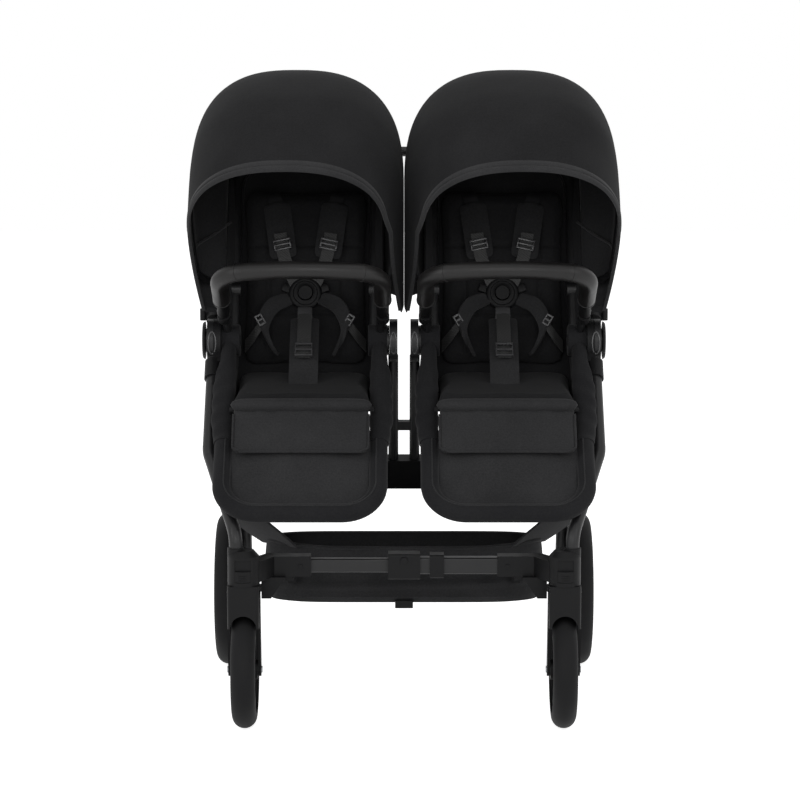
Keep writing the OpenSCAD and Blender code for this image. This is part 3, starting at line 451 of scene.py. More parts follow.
world = bpy.data.worlds.new("white_studio")
world.use_nodes = True
bpy.context.scene.world = world
sky = world.node_tree
light_path = add_node(sky, "ShaderNodeLightPath").outputs
seen = add_node(sky, "ShaderNodeMath", None,
                {0: light_path["Is Camera Ray"], 1: light_path["Is Glossy Ray"]}, operation="MAXIMUM")
shown = add_node(sky, "ShaderNodeMath", None,
                 {0: seen.outputs[0], 1: light_path["Is Transmission Ray"]}, operation="MAXIMUM")
level = add_node(sky, "ShaderNodeMapRange", {"To Min": 0.5, "To Max": 1.0}, {"Value": shown.outputs[0]})
backdrop_light = sky.nodes["Background"]
backdrop_light.inputs["Color"].default_value = (1, 1, 1, 1)
sky.links.new(level.outputs["Result"], backdrop_light.inputs["Strength"])

clear_selection()
bpy.ops.mesh.primitive_plane_add(size=14, location=(0, 1.5, 0))
floor = named("studio_floor")
pale = bpy.data.materials.new("pale_floor")
pale.use_nodes = True
ground = pale.node_tree
ground_path = add_node(ground, "ShaderNodeLightPath").outputs
ground_seen = add_node(ground, "ShaderNodeMath", None,
                       {0: ground_path["Is Camera Ray"], 1: ground_path["Is Glossy Ray"]},
                       operation="MAXIMUM")
glow = add_node(ground, "ShaderNodeMath", {1: 0.8}, {0: ground_seen.outputs[0]}, operation="MULTIPLY")
glowing = add_node(ground, "ShaderNodeEmission", None, {"Strength": glow.outputs[0]})
matt = add_node(ground, "ShaderNodeBsdfDiffuse", {"Color": (0.9, 0.9, 0.9, 1)})
summed = add_node(ground, "ShaderNodeAddShader", None, {0: glowing.outputs[0], 1: matt.outputs[0]})
ground.links.new(summed.outputs[0], ground.nodes["Material Output"].inputs["Surface"])
paint(floor, pale)
bpy.context.scene.view_settings.view_transform = "Standard"


# Canopy: one sheet from its rear edge over the hoops to the rim, with side panels down past the pivots

# Angles of the hoops ahead of upright, and the squareness of the arch at the rim and at the crown
HOOPS = (-30, 0, 27, 53)
RIM_POWER = 2.4
CROWN_POWER = 2.66
# Share of the sheet's width that arches over the seat, and the radius at which the arch starts
ARCH_SHARE = 0.66
ARCH_FOOT = 200
# Radius of the top at the rear, how much it grows to the front, and how deep it dips between hoops
REAR_TOP = 403.6
TOP_GROWTH = 11.6
TOP_DIP = 3.5
# Edges at the rear, and how much wider the canopy gets to the front
REAR_OUTER = -332.6
OUTER_REACH = 58.9
REAR_INNER = -37.5
INNER_REACH = 35.1
# How far the rim tucks in on the inner side, low down and more higher up
RIM_TUCK = 4
RIM_TUCK_HIGH = 26
# Lean behind upright, seen from the hub, that reaches the push bar's sleeves at full recline
CLEAR_LEAN = 23
# Half the width of a sleeve, with some room
SLEEVE_ROOM = 16
# The lower tips: their place at the rear, their run to the front, their height and their drop
TIP_REAR_Y = 58
TIP_RUN = 74
TIP_Z = 742
TIP_DROP = 34
# The side panels draw in towards their tips
TIP_NARROWING = 19.5
PANEL_CURVE = 1.6
# The rear wall: its angle, the radius of its lower edge, the rise of its notch for the recline handle,
# its drop at the sides, and how far it hangs behind the backrest and sags
REAR_ANGLE = -29.6
WALL_LOW = 264
NOTCH_RISE = 27
SIDE_DROP = 70
WALL_BEHIND = 18
WALL_SLACK = 5


def rim_share(ahead):
    """Share that grows from ahead of the third hoop to the rim."""
    return ease((ahead - 34) / 19)


def outer_reach(y, z, ahead):
    """Share of the full width that stays clear of the push bar's sleeves when the seat reclines."""
    far = math.hypot(y - HUB.y, z - HUB.z)
    lean = math.degrees(math.atan2(y - HUB.y, z - HUB.z))
    limit = CLEAR_LEAN - math.degrees(math.asin(min(SLEEVE_ROOM / far, 1)))
    return ease((limit - lean) / (16 - 12 * rim_share(ahead)))


def canopy_edges(ahead, radius):
    """Outer and inner edge of the canopy at an angle ahead of upright and a radius."""
    spot = math.radians(ahead)
    reach = outer_reach(PIVOT.y - radius * math.sin(spot), PIVOT.z + radius * math.cos(spot), ahead)
    outer = REAR_OUTER - OUTER_REACH * reach
    tuck = rim_share(ahead) * (RIM_TUCK + RIM_TUCK_HIGH * ease((radius - 100) / 160))
    inner = REAR_INNER + INNER_REACH * ease((ahead + 24) / 32) - tuck
    return outer, inner


def canopy_top(ahead):
    """Top radius, which dips between the hoops."""
    at = min(max(ahead, HOOPS[0]), HOOPS[-1])
    gap = [(a, b) for a, b in zip(HOOPS, HOOPS[1:]) if a <= at <= b][0]
    dip = math.sin(math.pi * (at - gap[0]) / (gap[1] - gap[0]))
    return REAR_TOP + TOP_GROWTH * ease((ahead + 12) / 26) - TOP_DIP * dip


def canopy_point(across, ahead, lift=0):
    """A point of the canopy by its share from the outer tip to the inner one, lifted out of the sheet."""
    side = (1 - ARCH_SHARE) / 2
    spot = math.radians(ahead)
    if side <= across <= 1 - side:
        turn = math.pi * (across - side) / ARCH_SHARE
        cosine, sine = math.cos(turn), math.sin(turn)
        square = 2 / (CROWN_POWER + (RIM_POWER - CROWN_POWER) * ease((ahead - 26) / 24))
        radius = ARCH_FOOT + (canopy_top(ahead) - ARCH_FOOT) * abs(sine) ** square
        outer, inner = canopy_edges(ahead, radius)
        middle = (outer + inner) / 2
        x = middle - (inner - outer) / 2 * math.copysign(abs(cosine) ** square, cosine)
        radius += lift * sine
        return Vector((x - lift * cosine, PIVOT.y - radius * math.sin(spot),
                       PIVOT.z + radius * math.cos(spot)))
    left = across < side
    share = across / side if left else (1 - across) / side
    # The lower edge drops from the pivot to a point at the rim
    forward = (ahead - HOOPS[0]) / (HOOPS[-1] - HOOPS[0])
    tip = Vector((0, TIP_REAR_Y - TIP_RUN * forward, TIP_Z - TIP_DROP * ease((ahead - 10) / 43)))
    foot = Vector((0, PIVOT.y - ARCH_FOOT * math.sin(spot), PIVOT.z + ARCH_FOOT * math.cos(spot)))
    point = tip.lerp(foot, share)
    if left:
        full = OUTER_REACH - TIP_NARROWING * (1 - share) ** PANEL_CURVE
        point.x = REAR_OUTER - full * outer_reach(point.y, point.z, ahead)
    else:
        inner = canopy_edges(ahead, ARCH_FOOT)[1]
        tip_x = REAR_INNER + INNER_REACH * ease((ahead - 8) / 22) - RIM_TUCK * rim_share(ahead)
        point.x = inner + (tip_x - inner) * (1 - share) ** PANEL_CURVE
    return point + Vector((-lift if left else lift, 0, 0))


def canopy_follow(piece, side):
    """Puts the cloth's place into its mesh, and leaves it on no body."""
    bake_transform(piece)


def rear_wall(u, v):
    """The cloth that closes the back of the canopy above the backrest."""
    at = (1 - ARCH_SHARE) / 2 + ARCH_SHARE * (0.004 + 0.992 * u)
    high = canopy_point(at, REAR_ANGLE, -1)
    middle = sum(canopy_edges(HOOPS[0], 300)) / 2
    rise = math.hypot(high.y - PIVOT.y, high.z - PIVOT.z)
    # A notch leaves the recline handle free, and the sides hang behind the backrest's round corners
    aside = abs(high.x - middle)
    low = WALL_LOW + NOTCH_RISE * (1 - ease((aside - 58) / 20)) - SIDE_DROP * ease((aside - 84) / 50)
    radius = min(low, rise) * (1 - v) + rise * v
    spot = math.radians(REAR_ANGLE)
    # Its lower edge hangs behind the top of the backrest, and its ends meet the canopy's sides
    behind = WALL_BEHIND * (1 - ease((radius - 284) / 26)) * (1 - ease((aside - 126) / 18))
    slack = WALL_SLACK * math.sin(math.pi * u) * math.sin(math.pi * v) + behind
    return (high.x, PIVOT.y - radius * math.sin(spot) + slack, PIVOT.z + radius * math.cos(spot))


# The sheet ends inside the hem
SHEET_SWEEP = 80.5
shade = cloth_grid("canopy", 80, 40, lambda u, v: canopy_point(u, HOOPS[0] + SHEET_SWEEP * v), canopy_canvas,
                   CLOTH_T, 0, (0, 0, 1), lining_cloth)
back_wall = cloth_grid("canopy_wall", 40, 10, rear_wall, canopy_canvas, CLOTH_T, 0, (0, 1, 0), lining_cloth)
canopies = fit_pair(join("canopy", [shade, back_wall]), "canopy", ("canopy_rear", "canopy_front"),
                    canopy_follow)

# Section of the hem at the crown, with a stitched groove: angle ahead of upright, and lift out of the sheet
HEM_FRONT = 53.2
HEM = [(49.4, 0.2), (50.0, 2.3), (50.9, 3.2), (51.3, 3.2), (51.55, 2.0), (51.8, 3.2), (52.4, 2.9),
       (53.0, 1.2), (HEM_FRONT, -1.0), (52.7, -3.2), (51.4, -3.6), (50.0, -3.2), (49.5, -2.6)]


def hem_point(u, v):
    """A point of the hem by its share from the outer tip to the inner one and its share round the section."""
    ring = HEM + HEM[:1]
    place = v * len(HEM)
    i = min(int(place), len(HEM) - 1)
    t = place - i
    # The hem narrows from the crown to its tips
    wide = 0.5 + 0.5 * ease(1.4 * math.sin(math.pi * u) - 0.2)
    ahead = ring[i][0] * (1 - t) + ring[i + 1][0] * t
    lift = ring[i][1] * (1 - t) + ring[i + 1][1] * t
    return canopy_point(0.004 + 0.992 * u, HEM_FRONT - (HEM_FRONT - ahead) * wide, lift)


def closed_roll(name, count, place, material, ring):
    """A roll along the first share, closed round the second one and at both ends."""
    piece = wrapped(name, count, ring, place, material)
    edit_all(piece)
    bpy.ops.mesh.select_all(action="DESELECT")
    bpy.ops.mesh.select_non_manifold()
    bpy.ops.mesh.fill_holes(sides=0)
    bpy.ops.mesh.select_all(action="SELECT")
    bpy.ops.mesh.normals_make_consistent(inside=False)
    bpy.ops.object.mode_set(mode="OBJECT")
    return smooth(piece, 50)


hem = closed_roll("canopy_hem", 120, hem_point, hem_canvas, len(HEM))
hems = fit_pair(hem, "canopy", ())


def hoop(name, ahead, wide, deep):
    """A flat spring bar along the inside of the canopy, from one pivot to the other."""
    line = [canopy_point(0.07 + 0.86 * i / 72, ahead, -6) for i in range(73)]
    ends = [Vector((x, PIVOT.y - 8, PIVOT.z + 6)) for x in (-329, -44)]
    line = [ends[0], *line, ends[1]]

    def place(u, v):
        spot = along(line, u)
        run = along(line, min(u + 0.004, 1)) - along(line, max(u - 0.004, 0))
        flat = Vector((0, -math.cos(math.radians(ahead)), -math.sin(math.radians(ahead))))
        thin = run.cross(flat).normalized()
        turn = 2 * math.pi * v
        return spot + flat * wide * math.cos(turn) + thin * deep * math.sin(turn)
    return closed_roll(name, 96, place, moulded_nylon, 10)


# Light elastic bands inside the side panels, by their points along and up
BAND = ((-62, 822), (-20, 834), (20, 850), (60, 870))
BAND_INSET = 7


def band_point(y, z, left):
    """A point just inside a side of the canopy."""
    ahead = math.degrees(math.atan2(PIVOT.y - y, z - PIVOT.z))
    outer, inner = canopy_edges(ahead, math.hypot(PIVOT.y - y, z - PIVOT.z))
    return Vector((outer + BAND_INSET if left else inner - BAND_INSET, y, z))


bands = [[band_point(y, z, left) for y, z in BAND] for left in (True, False)]
elastic = [tube("canopy_elastic", [along(line, i / 12) for i in range(13)], 2.4, hem_canvas, sides=2)
           for line in bands]
fit_pair(join("canopy_elastic", elastic), "canopy", (), canopy_follow)
hoops = fit_pair(hoop("canopy_hoop", 47, 8, 1.8), "canopy", ())


# Seat: cloth pan and back, side wings, padded cushions

def back_point(up, out, x):
    """A point on the backrest: up from the pan, out of its front, across from the seat's middle."""
    return Vector((SEAT_X + x, PAN_REAR, PAN_Z)) + BACK_UP * up + BACK_OUT * out


def seat_line(share):
    """The seat's side view, from the front edge of the pan round the crease to the top of the back."""
    inset = 20
    pan = PAN_REAR - PAN_FRONT - inset
    crease = 36
    back = 424
    walk = share * (pan + crease + back)
    if walk <= pan:
        return Vector((0, PAN_FRONT + walk, PAN_Z - 1))
    if walk >= pan + crease:
        return Vector((0, PAN_REAR, PAN_Z)) + BACK_UP * (inset + walk - pan - crease) + BACK_OUT * -1
    bend = (walk - pan) / crease
    start = Vector((0, PAN_REAR - inset, PAN_Z - 1))
    corner = Vector((0, PAN_REAR, PAN_Z))
    end = corner + BACK_UP * inset + BACK_OUT * -1
    return start * (1 - bend) ** 2 + corner * 2 * bend * (1 - bend) + end * bend ** 2


def liner_point(u, v):
    """The liner follows the seat's side view, and widens above the hubs."""
    spot = seat_line(v)
    half = BACK_HALF - 1 + 19 * ease((spot.z - 640) / 90)
    return (SEAT_X + (2 * u - 1) * half, spot.y, spot.z)


LINER_T = 3
liner = cloth_grid("seat_liner", 16, 60, liner_point, lining_cloth, LINER_T, 0, (0, -1, 1))

# Upper edge of the side wings: place and height, with the distance outside the seat's side as a negative X
WING_TOP = [Vector((0, -150, 556)), Vector((-3, -78, 614)), Vector((-4, -24, 668)), Vector((-14, 4, 745)),
            Vector((-15, 52, 850)), Vector((-15, 140, 958))]


def wing(side):
    """The cloth side of a seat, from its pan and back up to its upper edge."""
    def place(u, v):
        low = seat_line(0.14 + 0.84 * u)
        high = along(WING_TOP, u)
        spot = low.lerp(high, v)
        belly = 7 * math.sin(math.pi * v) * math.sin(math.pi * u)
        flare = -high.x * v * v
        return (SEAT_X + side * (BACK_HALF - 2 - belly + flare), spot.y, spot.z)
    return place


wings = [cloth_grid("seat_wing", 40, 10, wing(side), lining_cloth, LINER_T, 0, (-side, 0, 0))
         for side in (-1, 1)]
BACK_BEND = 70
BACK_TOP = 449
SLEEVE_LOW = BACK_TOP - 110
over_top = [back_point(SLEEVE_LOW, 0, -BACK_HALF), back_point(BACK_TOP, 0, -BACK_HALF),
            back_point(BACK_TOP, 0, BACK_HALF), back_point(SLEEVE_LOW, 0, BACK_HALF)]
top_sleeve = tube("back_sleeve", arc_points(over_top, [BACK_BEND] * 2, 14), 13.2, lining_cloth, sides=6)
liners = fit_pair(join("seat_liner", [liner, *wings]), "seat", ("seat_shell",))
for side, sheet in zip(SIDES, liners):
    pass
for pad in fit_pair(top_sleeve, "seat", ()):
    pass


PAD_CELLS = 36
PAD_EDGE = 9
PAD_TOP = 20
PAD_PULL = 6
SEAM_DEPTH = 4.5


def cushion(name, width, length, seams, place):
    """A crowned pad, filled by cloth simulation lying flat, sewn down along its seams, then put in place."""
    clear_selection()
    bpy.ops.mesh.primitive_grid_add(x_subdivisions=PAD_CELLS, y_subdivisions=PAD_CELLS, size=2)
    piece = named(name)
    edit_all(piece)
    bpy.ops.mesh.extrude_region_move(TRANSFORM_OT_translate={"value": (0, 0, 1)})
    bpy.ops.mesh.select_all(action="SELECT")
    bpy.ops.mesh.normals_make_consistent(inside=False)
    bpy.ops.object.mode_set(mode="OBJECT")
    for corner in piece.data.vertices:
        u, v, high = corner.co
        x = u * (width / 2 - PAD_PULL * (1 - v * v))
        y = v * (length / 2 - PAD_PULL * (1 - u * u))
        # Corners are rounded off
        if abs(u) > 0.8 and abs(v) > 0.8:
            shrink = 1 - 0.06 * (abs(u) - 0.8) * (abs(v) - 0.8) / 0.04
            x, y = x * shrink, y * shrink
        crown = math.sqrt(max((1 - u ** 4) * (1 - v ** 4), 0))
        corner.co = Vector((x, y, PAD_EDGE + (PAD_TOP - PAD_EDGE) * crown if high > 0.5 else 0)) * MM
    swell(piece)
    apply_modifier(piece, "SUBSURF", levels=1, render_levels=1)
    for corner in piece.data.vertices:
        x, y, z = corner.co / MM
        rim = max(abs(x) / (width / 2), abs(y) / (length / 2))
        if z > PAD_EDGE * 0.6:
            for line, across in seams:
                off = y - line if across else x - line
                z -= SEAM_DEPTH * math.exp(-(off / 5) ** 2) * max(1 - rim ** 8, 0)
        corner.co = Vector(place(x, y, max(z, 0))) * MM
    smooth(piece, 60)
    return paint(piece, lining_cloth)


VOXEL_MM = 5
SWELL_CAP_MM = 7
SWELL_STEPS = 20
SWELL_ROOM_MM = 2


def swell(piece):
    """Fills a pad with cloth under pressure, and keeps each point near its start and below the pad's top."""
    apply_modifier(piece, "REMESH", mode="VOXEL", voxel_size=VOXEL_MM * MM)
    start = [corner.co.copy() for corner in piece.data.vertices]
    filling = piece.modifiers.new("Filling", "CLOTH")
    filling.settings.use_pressure = True
    filling.settings.uniform_pressure_force = 4
    filling.settings.effector_weights.gravity = 0
    filling.settings.quality = 4
    for step in range(1, SWELL_STEPS + 1):
        bpy.context.scene.frame_set(step)
    bpy.ops.object.modifier_apply(modifier=filling.name)
    bpy.context.scene.frame_set(1)
    for corner, was in zip(piece.data.vertices, start):
        move = corner.co - was
        if move.length > SWELL_CAP_MM * MM:
            move = move.normalized() * SWELL_CAP_MM * MM
        # The pad swells upwards, and stays inside its own outline
        corner.co = was + Vector((0.25 * move.x, 0.25 * move.y, move.z))
        corner.co.z = min(corner.co.z, (PAD_TOP + SWELL_ROOM_MM) * MM)


PAN_PAD = 214


def on_pan(x, y, z):
    """The pan's pad is thicker towards the back."""
    rise = max(y + PAN_PAD / 2, 0) / PAN_PAD
    return (SEAT_X + x, -96 + y, PAN_Z + 0.5 + z * (1 + 0.85 * rise))


seat_cushion = cushion("seat_cushion", 256, PAN_PAD, [], on_pan)
for pad in fit_pair(seat_cushion, "seat", ("seat_pad",)):
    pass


def on_backrest(x, y, z):
    return back_point(212 + y, 0.5 + z, x)


BACK_SEAMS = [(-70, False), (70, False), (60, True), (-70, True)]
back_cushion = cushion("back_cushion", 238, 340, BACK_SEAMS, on_backrest)
for pad in fit_pair(back_cushion, "seat", ("back_pad",)):
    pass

# Leg rest: a padded flap over the front edge of the pan, and a cloth panel inside the leg loop

TOE_RUN = TOE - HUB
TOE_DIR = TOE_RUN.normalized()
TOE_OUT = Vector((0, TOE_DIR.z, -TOE_DIR.y))
LOOP_REACH = TOE_RUN.length
COVER_R = 16.5


def loop_point(down, out, x):
    """A point by the plane of the leg loop: down from the hub, out of its front, across from the middle."""
    return Vector((SEAT_X + x, HUB.y, HUB.z)) + TOE_DIR * down + TOE_OUT * out


FLAP_LINE = [Vector((0, PAN_FRONT + 2, PAN_Z + 4)), Vector((0, -217, 554)), Vector((0, -225, 544)),
             Vector((0, -241, 527)), Vector((0, -260, 508)), Vector((0, -277, 490))]
FLAP_HALF = 122


def flap_point(u, v):
    """A filled flap over the knee edge, with rounded lower corners and a pucker under its seam."""
    spot = along(FLAP_LINE, v)
    half = FLAP_HALF
    corner = 0.12
    left = 1 - v
    if left < corner:
        half -= 14 * (1 - math.sqrt(max(1 - ((corner - left) / corner) ** 2, 0)))
    fill = 4 * math.sin(math.pi * u) ** 0.5 * math.sin(math.pi * min(0.08 + 0.9 * v, 1)) ** 0.5
    pucker = 0.9 * math.sin(38 * u) * math.exp(-((v - 0.2) / 0.1) ** 2)
    return (SEAT_X + (2 * u - 1) * half, spot.y - (fill + pucker) * 0.7, spot.z + (fill + pucker) * 0.6)


def knee_roll(u, v):
    """The roll along the top of the flap, with rounded ends."""
    turn = 2 * math.pi * v
    ends = math.sqrt(max(1 - (2 * u - 1) ** 12, 0))
    return (SEAT_X + (2 * u - 1) * (FLAP_HALF + 6), -212 - 13 * ends * math.cos(turn),
            565 + 12 * ends * math.sin(turn))


roll = closed_roll("knee_roll", 60, knee_roll, seat_canvas, 20)
flap = cloth_grid("leg_flap", 36, 44, flap_point, seat_canvas, 6, 1, (0, -1, 0.5))
edge = [Vector(flap_point(u, v)) + Vector((0, -1, 0)) for u, v in
        [(0, 0.3 + 0.055 * i) for i in range(12)] + [(0.02 + 0.032 * i, 0.998) for i in range(31)]
        + [(1, 0.905 - 0.055 * i) for i in range(12)]]
flap_edge = tube("flap_piping", edge, 2.0, seat_canvas, sides=2)


PANEL_FROM = 236
PANEL_TO = LOOP_REACH - 8


def panel_point(u, v):
    """The cloth inside the leg loop, rounded at the toe."""
    down = PANEL_FROM + v * (PANEL_TO - PANEL_FROM)
    half = LOOP_HALF - 6
    bend = LOOP_BEND - 8
    left = PANEL_TO - down
    if left < bend:
        half -= bend - math.sqrt(max(bend ** 2 - (bend - left) ** 2, 0))
    # The cloth runs from under the flap to the toe, so it stands proud of the loop at its top
    proud = 26 * (1 - ease((down - 296) / 122))
    sag = -5 + (proud + 2 * math.sin(math.pi * v)) * max(math.sin(math.pi * u), 0) ** 0.35
    crease = 0.7 * math.sin(26 * u + 9 * v) * math.sin(math.pi * v)
    return loop_point(down, sag + crease, (2 * u - 1) * half)


panel = cloth_grid("leg_panel", 36, 30, panel_point, seat_canvas, 4, 0, (0, -1, 0.5))
for side, sheet in zip(SIDES, fit_pair(panel, "seat", ("leg_rest",))):
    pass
for pad in fit_pair(join("leg_flap", [flap, flap_edge, roll]), "seat", ()):
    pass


def loop_run(inset, from_down, lift=0):
    """Points down one side of the leg loop, round the toe and up the other side."""
    half = LOOP_HALF - inset
    toe = LOOP_REACH - inset
    points = [loop_point(from_down, lift, -half), loop_point(toe, lift, -half),
              loop_point(toe, lift, half), loop_point(from_down, lift, half)]
    return arc_points(points, [LOOP_BEND - inset] * 2, 14)


# Padded cover round the leg loop, sewn shut along its front, under two upper sleeves with wider hems
cover = tube("loop_cover", loop_run(0, 258), COVER_R, sleeve_canvas, sides=8)
seam = tube("loop_seam", loop_run(4, 262, COVER_R - 0.4), 1.3, seat_canvas, sides=2)
piping = tube("loop_piping", loop_run(14.5, 262, 6.5), 1.8, seat_canvas, sides=2)
sleeves = []
for side in (-1, 1):
    def sleeve_point(u, v, side=side):
        down = -26 + 290 * v
        turn = 2 * math.pi * u
        deep = 20 - 4 * ease((down - 20) / 60) + 1.4 * ease((down - 252) / 8)
        wide = 14.6 + 2.2 * ease((down - 40) / 60) + 1.2 * ease((down - 252) / 8)
        if down < 0:
            close = math.sqrt(max(1 - (down / 26) ** 2, 0))
            deep, wide = deep * close, wide * close
        slack = 0.6 * math.sin(0.16 * down + 2 * turn) * ease(down / 90)
        x = (wide + slack) * math.cos(turn)
        # The loose cloth hangs out over the front of the chassis leg
        if x > 0 and math.sin(turn) > -0.35:
            x *= 1 + 0.5 * ease((down - 36) / 100) * ease((278 - down) / 80)
        return loop_point(down, (deep + slack) * math.sin(turn), side * (LOOP_HALF + x))
    sleeves.append(wrapped("loop_sleeve", 32, 72, sleeve_point, sleeve_canvas, 1.6))
BOSS_R = 29.4
BOSS_END_R = 12
for near, far in ((-341.2, -305), (-67, -30.8)):
    def boss_cover(u, v, near=near, far=far):
        turn = 2 * math.pi * u
        at = min(max(1.16 * v - 0.08, 0), 1)
        closing = math.sqrt(max(1 - (max(abs(v - 0.5) - 0.4, 0) / 0.1) ** 2, 0))
        radius = BOSS_END_R + (BOSS_R - BOSS_END_R) * closing
        return (near + (far - near) * at, HUB.y + radius * math.cos(turn), HUB.z + radius * math.sin(turn))
    sleeves.append(wrapped("boss_cover", 40, 20, boss_cover, sleeve_canvas, 1))
for pad in fit_pair(join("leg_loop_cover", [cover, seam, piping, *sleeves]), "seat", ()):
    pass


# Harness: padded shoulder straps, webbing, round buckle, crotch pad and their adjusters

PAD_FACE = 21


def strap(name, points, width, thick, material, across=(1, 0, 0), belly=0.25, rounding=0):
    """A flat strap along points, with its width along one direction. Rounding is a share of its length."""
    side = Vector(across).normalized()

    def place(u, v):
        spot = along(points, v)
        ahead = along(points, min(v + 0.01, 1)) - along(points, max(v - 0.01, 0))
        out = side.cross(ahead).normalized()
        end = min(v, 1 - v)
        slim = 1 - 0.45 * (1 - math.sqrt(1 - (1 - end / rounding) ** 2)) if end < rounding else 1
        return spot + side * width * slim * (u - 0.5) + out * belly * thick * math.cos(math.pi * (u - 0.5))
    return cloth_grid(name, 8, 10 * len(points), place, material, thick, 0)


def adjuster(name, middle, width, tall, turn):
    """A moulded ladder lock: a frame with a bar across it."""
    bars = []
    # The ladder lock's grey is a painted highlight on black nylon
    for z in (-tall / 2 + 2, 0, tall / 2 - 2):
        bars.append(block(name, (width, 5.4, 4.2), (0, 0, z), glossy_nylon_painted_highlight, 1.2))
    for x in (-width / 2 + 1.5, width / 2 - 1.5):
        bars.append(block(name, (3.4, 4.8, tall), (x, 0, 0), glossy_nylon_painted_highlight, 1.2))
    piece = join(name, bars)
    piece.rotation_euler = [math.radians(a) for a in turn]
    piece.location = Vector(middle) * MM
    return settle(piece)


BACK_TURN = -math.degrees(math.atan2(BACK_UP.y, BACK_UP.z))
straps = []
pads = []
for side in (-1, 1):
    top = back_point(352, PAD_FACE + 2, side * 56)
    low = back_point(245, PAD_FACE + 9, side * 41)
    shoulder = [top, back_point(318, PAD_FACE + 8, side * 51), back_point(282, PAD_FACE + 10, side * 46), low]
    wide = (low - top).normalized().cross(BACK_OUT)
    pads.append(strap("shoulder_pad", shoulder, 51, 9, seat_canvas, wide, 0.4, 0.14))
    hang = [back_point(292, PAD_FACE + 17, side * 48), back_point(250, PAD_FACE + 16, side * 41),
            back_point(222, PAD_FACE + 15, side * 31), back_point(190, PAD_FACE + 10, side * 16)]
    straps.append(strap("shoulder_webbing", hang, 24, 1.6, webbing, wide))
    slot_top = [back_point(374, PAD_FACE - 5, side * 62), back_point(364, PAD_FACE + 3, side * 60), top]
    straps.append(strap("slot_webbing", slot_top, 26, 1.8, lining_cloth, wide))
    straps.append(adjuster("shoulder_adjuster", back_point(270, PAD_FACE + 19, side * 44), 33, 21,
                           (BACK_TURN, side * 12, 0)))
    hip = [back_point(170, PAD_FACE + 6, side * 26), back_point(152, PAD_FACE + 22, side * 60),
           back_point(118, PAD_FACE + 34, side * 77), back_point(88, PAD_FACE + 36, side * 70),
           back_point(62, PAD_FACE + 28, side * 57)]
    pads.append(strap("hip_pad", hip, 30, 6, seat_canvas, BACK_UP + Vector((side * 0.9, 0, 0)), 0.4, 0.2))
    tail = [back_point(124, PAD_FACE + 30, side * 76), back_point(96, PAD_FACE + 22, side * 96),
            back_point(78, PAD_FACE, side * 114)]
    straps.append(strap("hip_webbing", tail, 24, 1.8, webbing, BACK_UP))
    straps.append(adjuster("hip_adjuster", back_point(122, PAD_FACE + 38, side * 84), 15, 22,
                           (BACK_TURN, side * 25, side * -30)))
crotch = [Vector((SEAT_X, -108, PAN_Z + 24)), Vector((SEAT_X, -66, 618)), Vector((SEAT_X, -8, 662)),
          back_point(128, PAD_FACE + 22, 0)]
pads.append(strap("crotch_pad", crotch, 54, 9, seat_canvas, (1, 0, 0), 0.4, 0.08))
crotch_run = [Vector((SEAT_X, -70, 632)), Vector((SEAT_X, -14, 674)), back_point(150, PAD_FACE + 14, 0)]
straps.append(strap("crotch_webbing", crotch_run, 26, 2, webbing))
straps.append(adjuster("crotch_adjuster", Vector((SEAT_X, -60, 645)), 33, 31, (-48, 0, 0)))
# The crotch tab's grey is a painted highlight on black nylon
straps.append(block("crotch_tab", (28, 4, 24), back_point(136, PAD_FACE + 27, 0), glossy_nylon_painted_highlight, 1.6,
                    (BACK_TURN - 12, 0, 0)))
fit_pair(join("harness_straps", straps), "seat", ("harness",))
for pad in fit_pair(join("harness_pads", pads), "seat", ()):
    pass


TURNED_STEPS = 56


def turned(name, profile, middle, turn, material):
    """A round moulding whose profile of radius and height closes on itself."""
    ring = [Vector((radius, height)) for radius, height in [*profile, profile[0]]]

    def place(u, v):
        at = v * (len(ring) - 1)
        i = min(int(at), len(ring) - 2)
        spot = ring[i].lerp(ring[i + 1], at - i)
        angle = 2 * math.pi * u
        return (spot.x * math.cos(angle), spot.x * math.sin(angle), spot.y)
    piece = wrapped(name, TURNED_STEPS, len(profile), place, material)
    piece.rotation_euler = [math.radians(a) for a in turn]
    piece.location = Vector(middle) * MM
    return settle(piece)


# The buckle's place up the back, and a ring that leaves room for the button, which is 13 mm in radius
BUCKLE_UP = 178
BUTTON_ROOM = 14
BUCKLE_RING = [(BUTTON_ROOM, 0), (29, 0), (31, 2), (32, 8), (30, 12), (26, 13.5), (23.5, 13.2), (22, 11.2),
               (19, 11.2), (BUTTON_ROOM + 1, 12.6), (BUTTON_ROOM, 11.8)]
buckle = turned("buckle", BUCKLE_RING, back_point(BUCKLE_UP, PAD_FACE, 0), (90 + BACK_TURN, 0, 0),
                moulded_nylon)
tongues = [block("buckle_tongue", (22, 8, 15), back_point(BUCKLE_UP + up, PAD_FACE + 6, x), moulded_nylon, 2,
                 (BACK_TURN, turn, 0))
           for x, up, turn in ((-34, 9, 20), (34, 9, -20), (-32, -14, -30), (32, -14, 30))]
fit_pair(join("buckle", [buckle, *tongues]), "seat", ())

# Bumper bar: seams and stitching on its leather cloth, and the moulded ends at its sockets

BAR_HALF = 147
BAR_SOCKET = Vector((0, -48, 700))
BAR_RISE = Vector((0, -0.8704, 0.4924))
BAR_CORNER = Vector((0, -235, 806))
BAR_CREST = Vector((SEAT_X, -268, 820))
BAR_R = 16
OUTER_ARM = Vector((SEAT_X - BAR_HALF, 0, 0))
INNER_ARM = Vector((SEAT_X + BAR_HALF, 0, 0))
BAR_PATH = arc_points([OUTER_ARM + BAR_SOCKET, OUTER_ARM + BAR_CORNER, BAR_CREST, INNER_ARM + BAR_CORNER,
                       INNER_ARM + BAR_SOCKET], [60, 400, 60], 24)


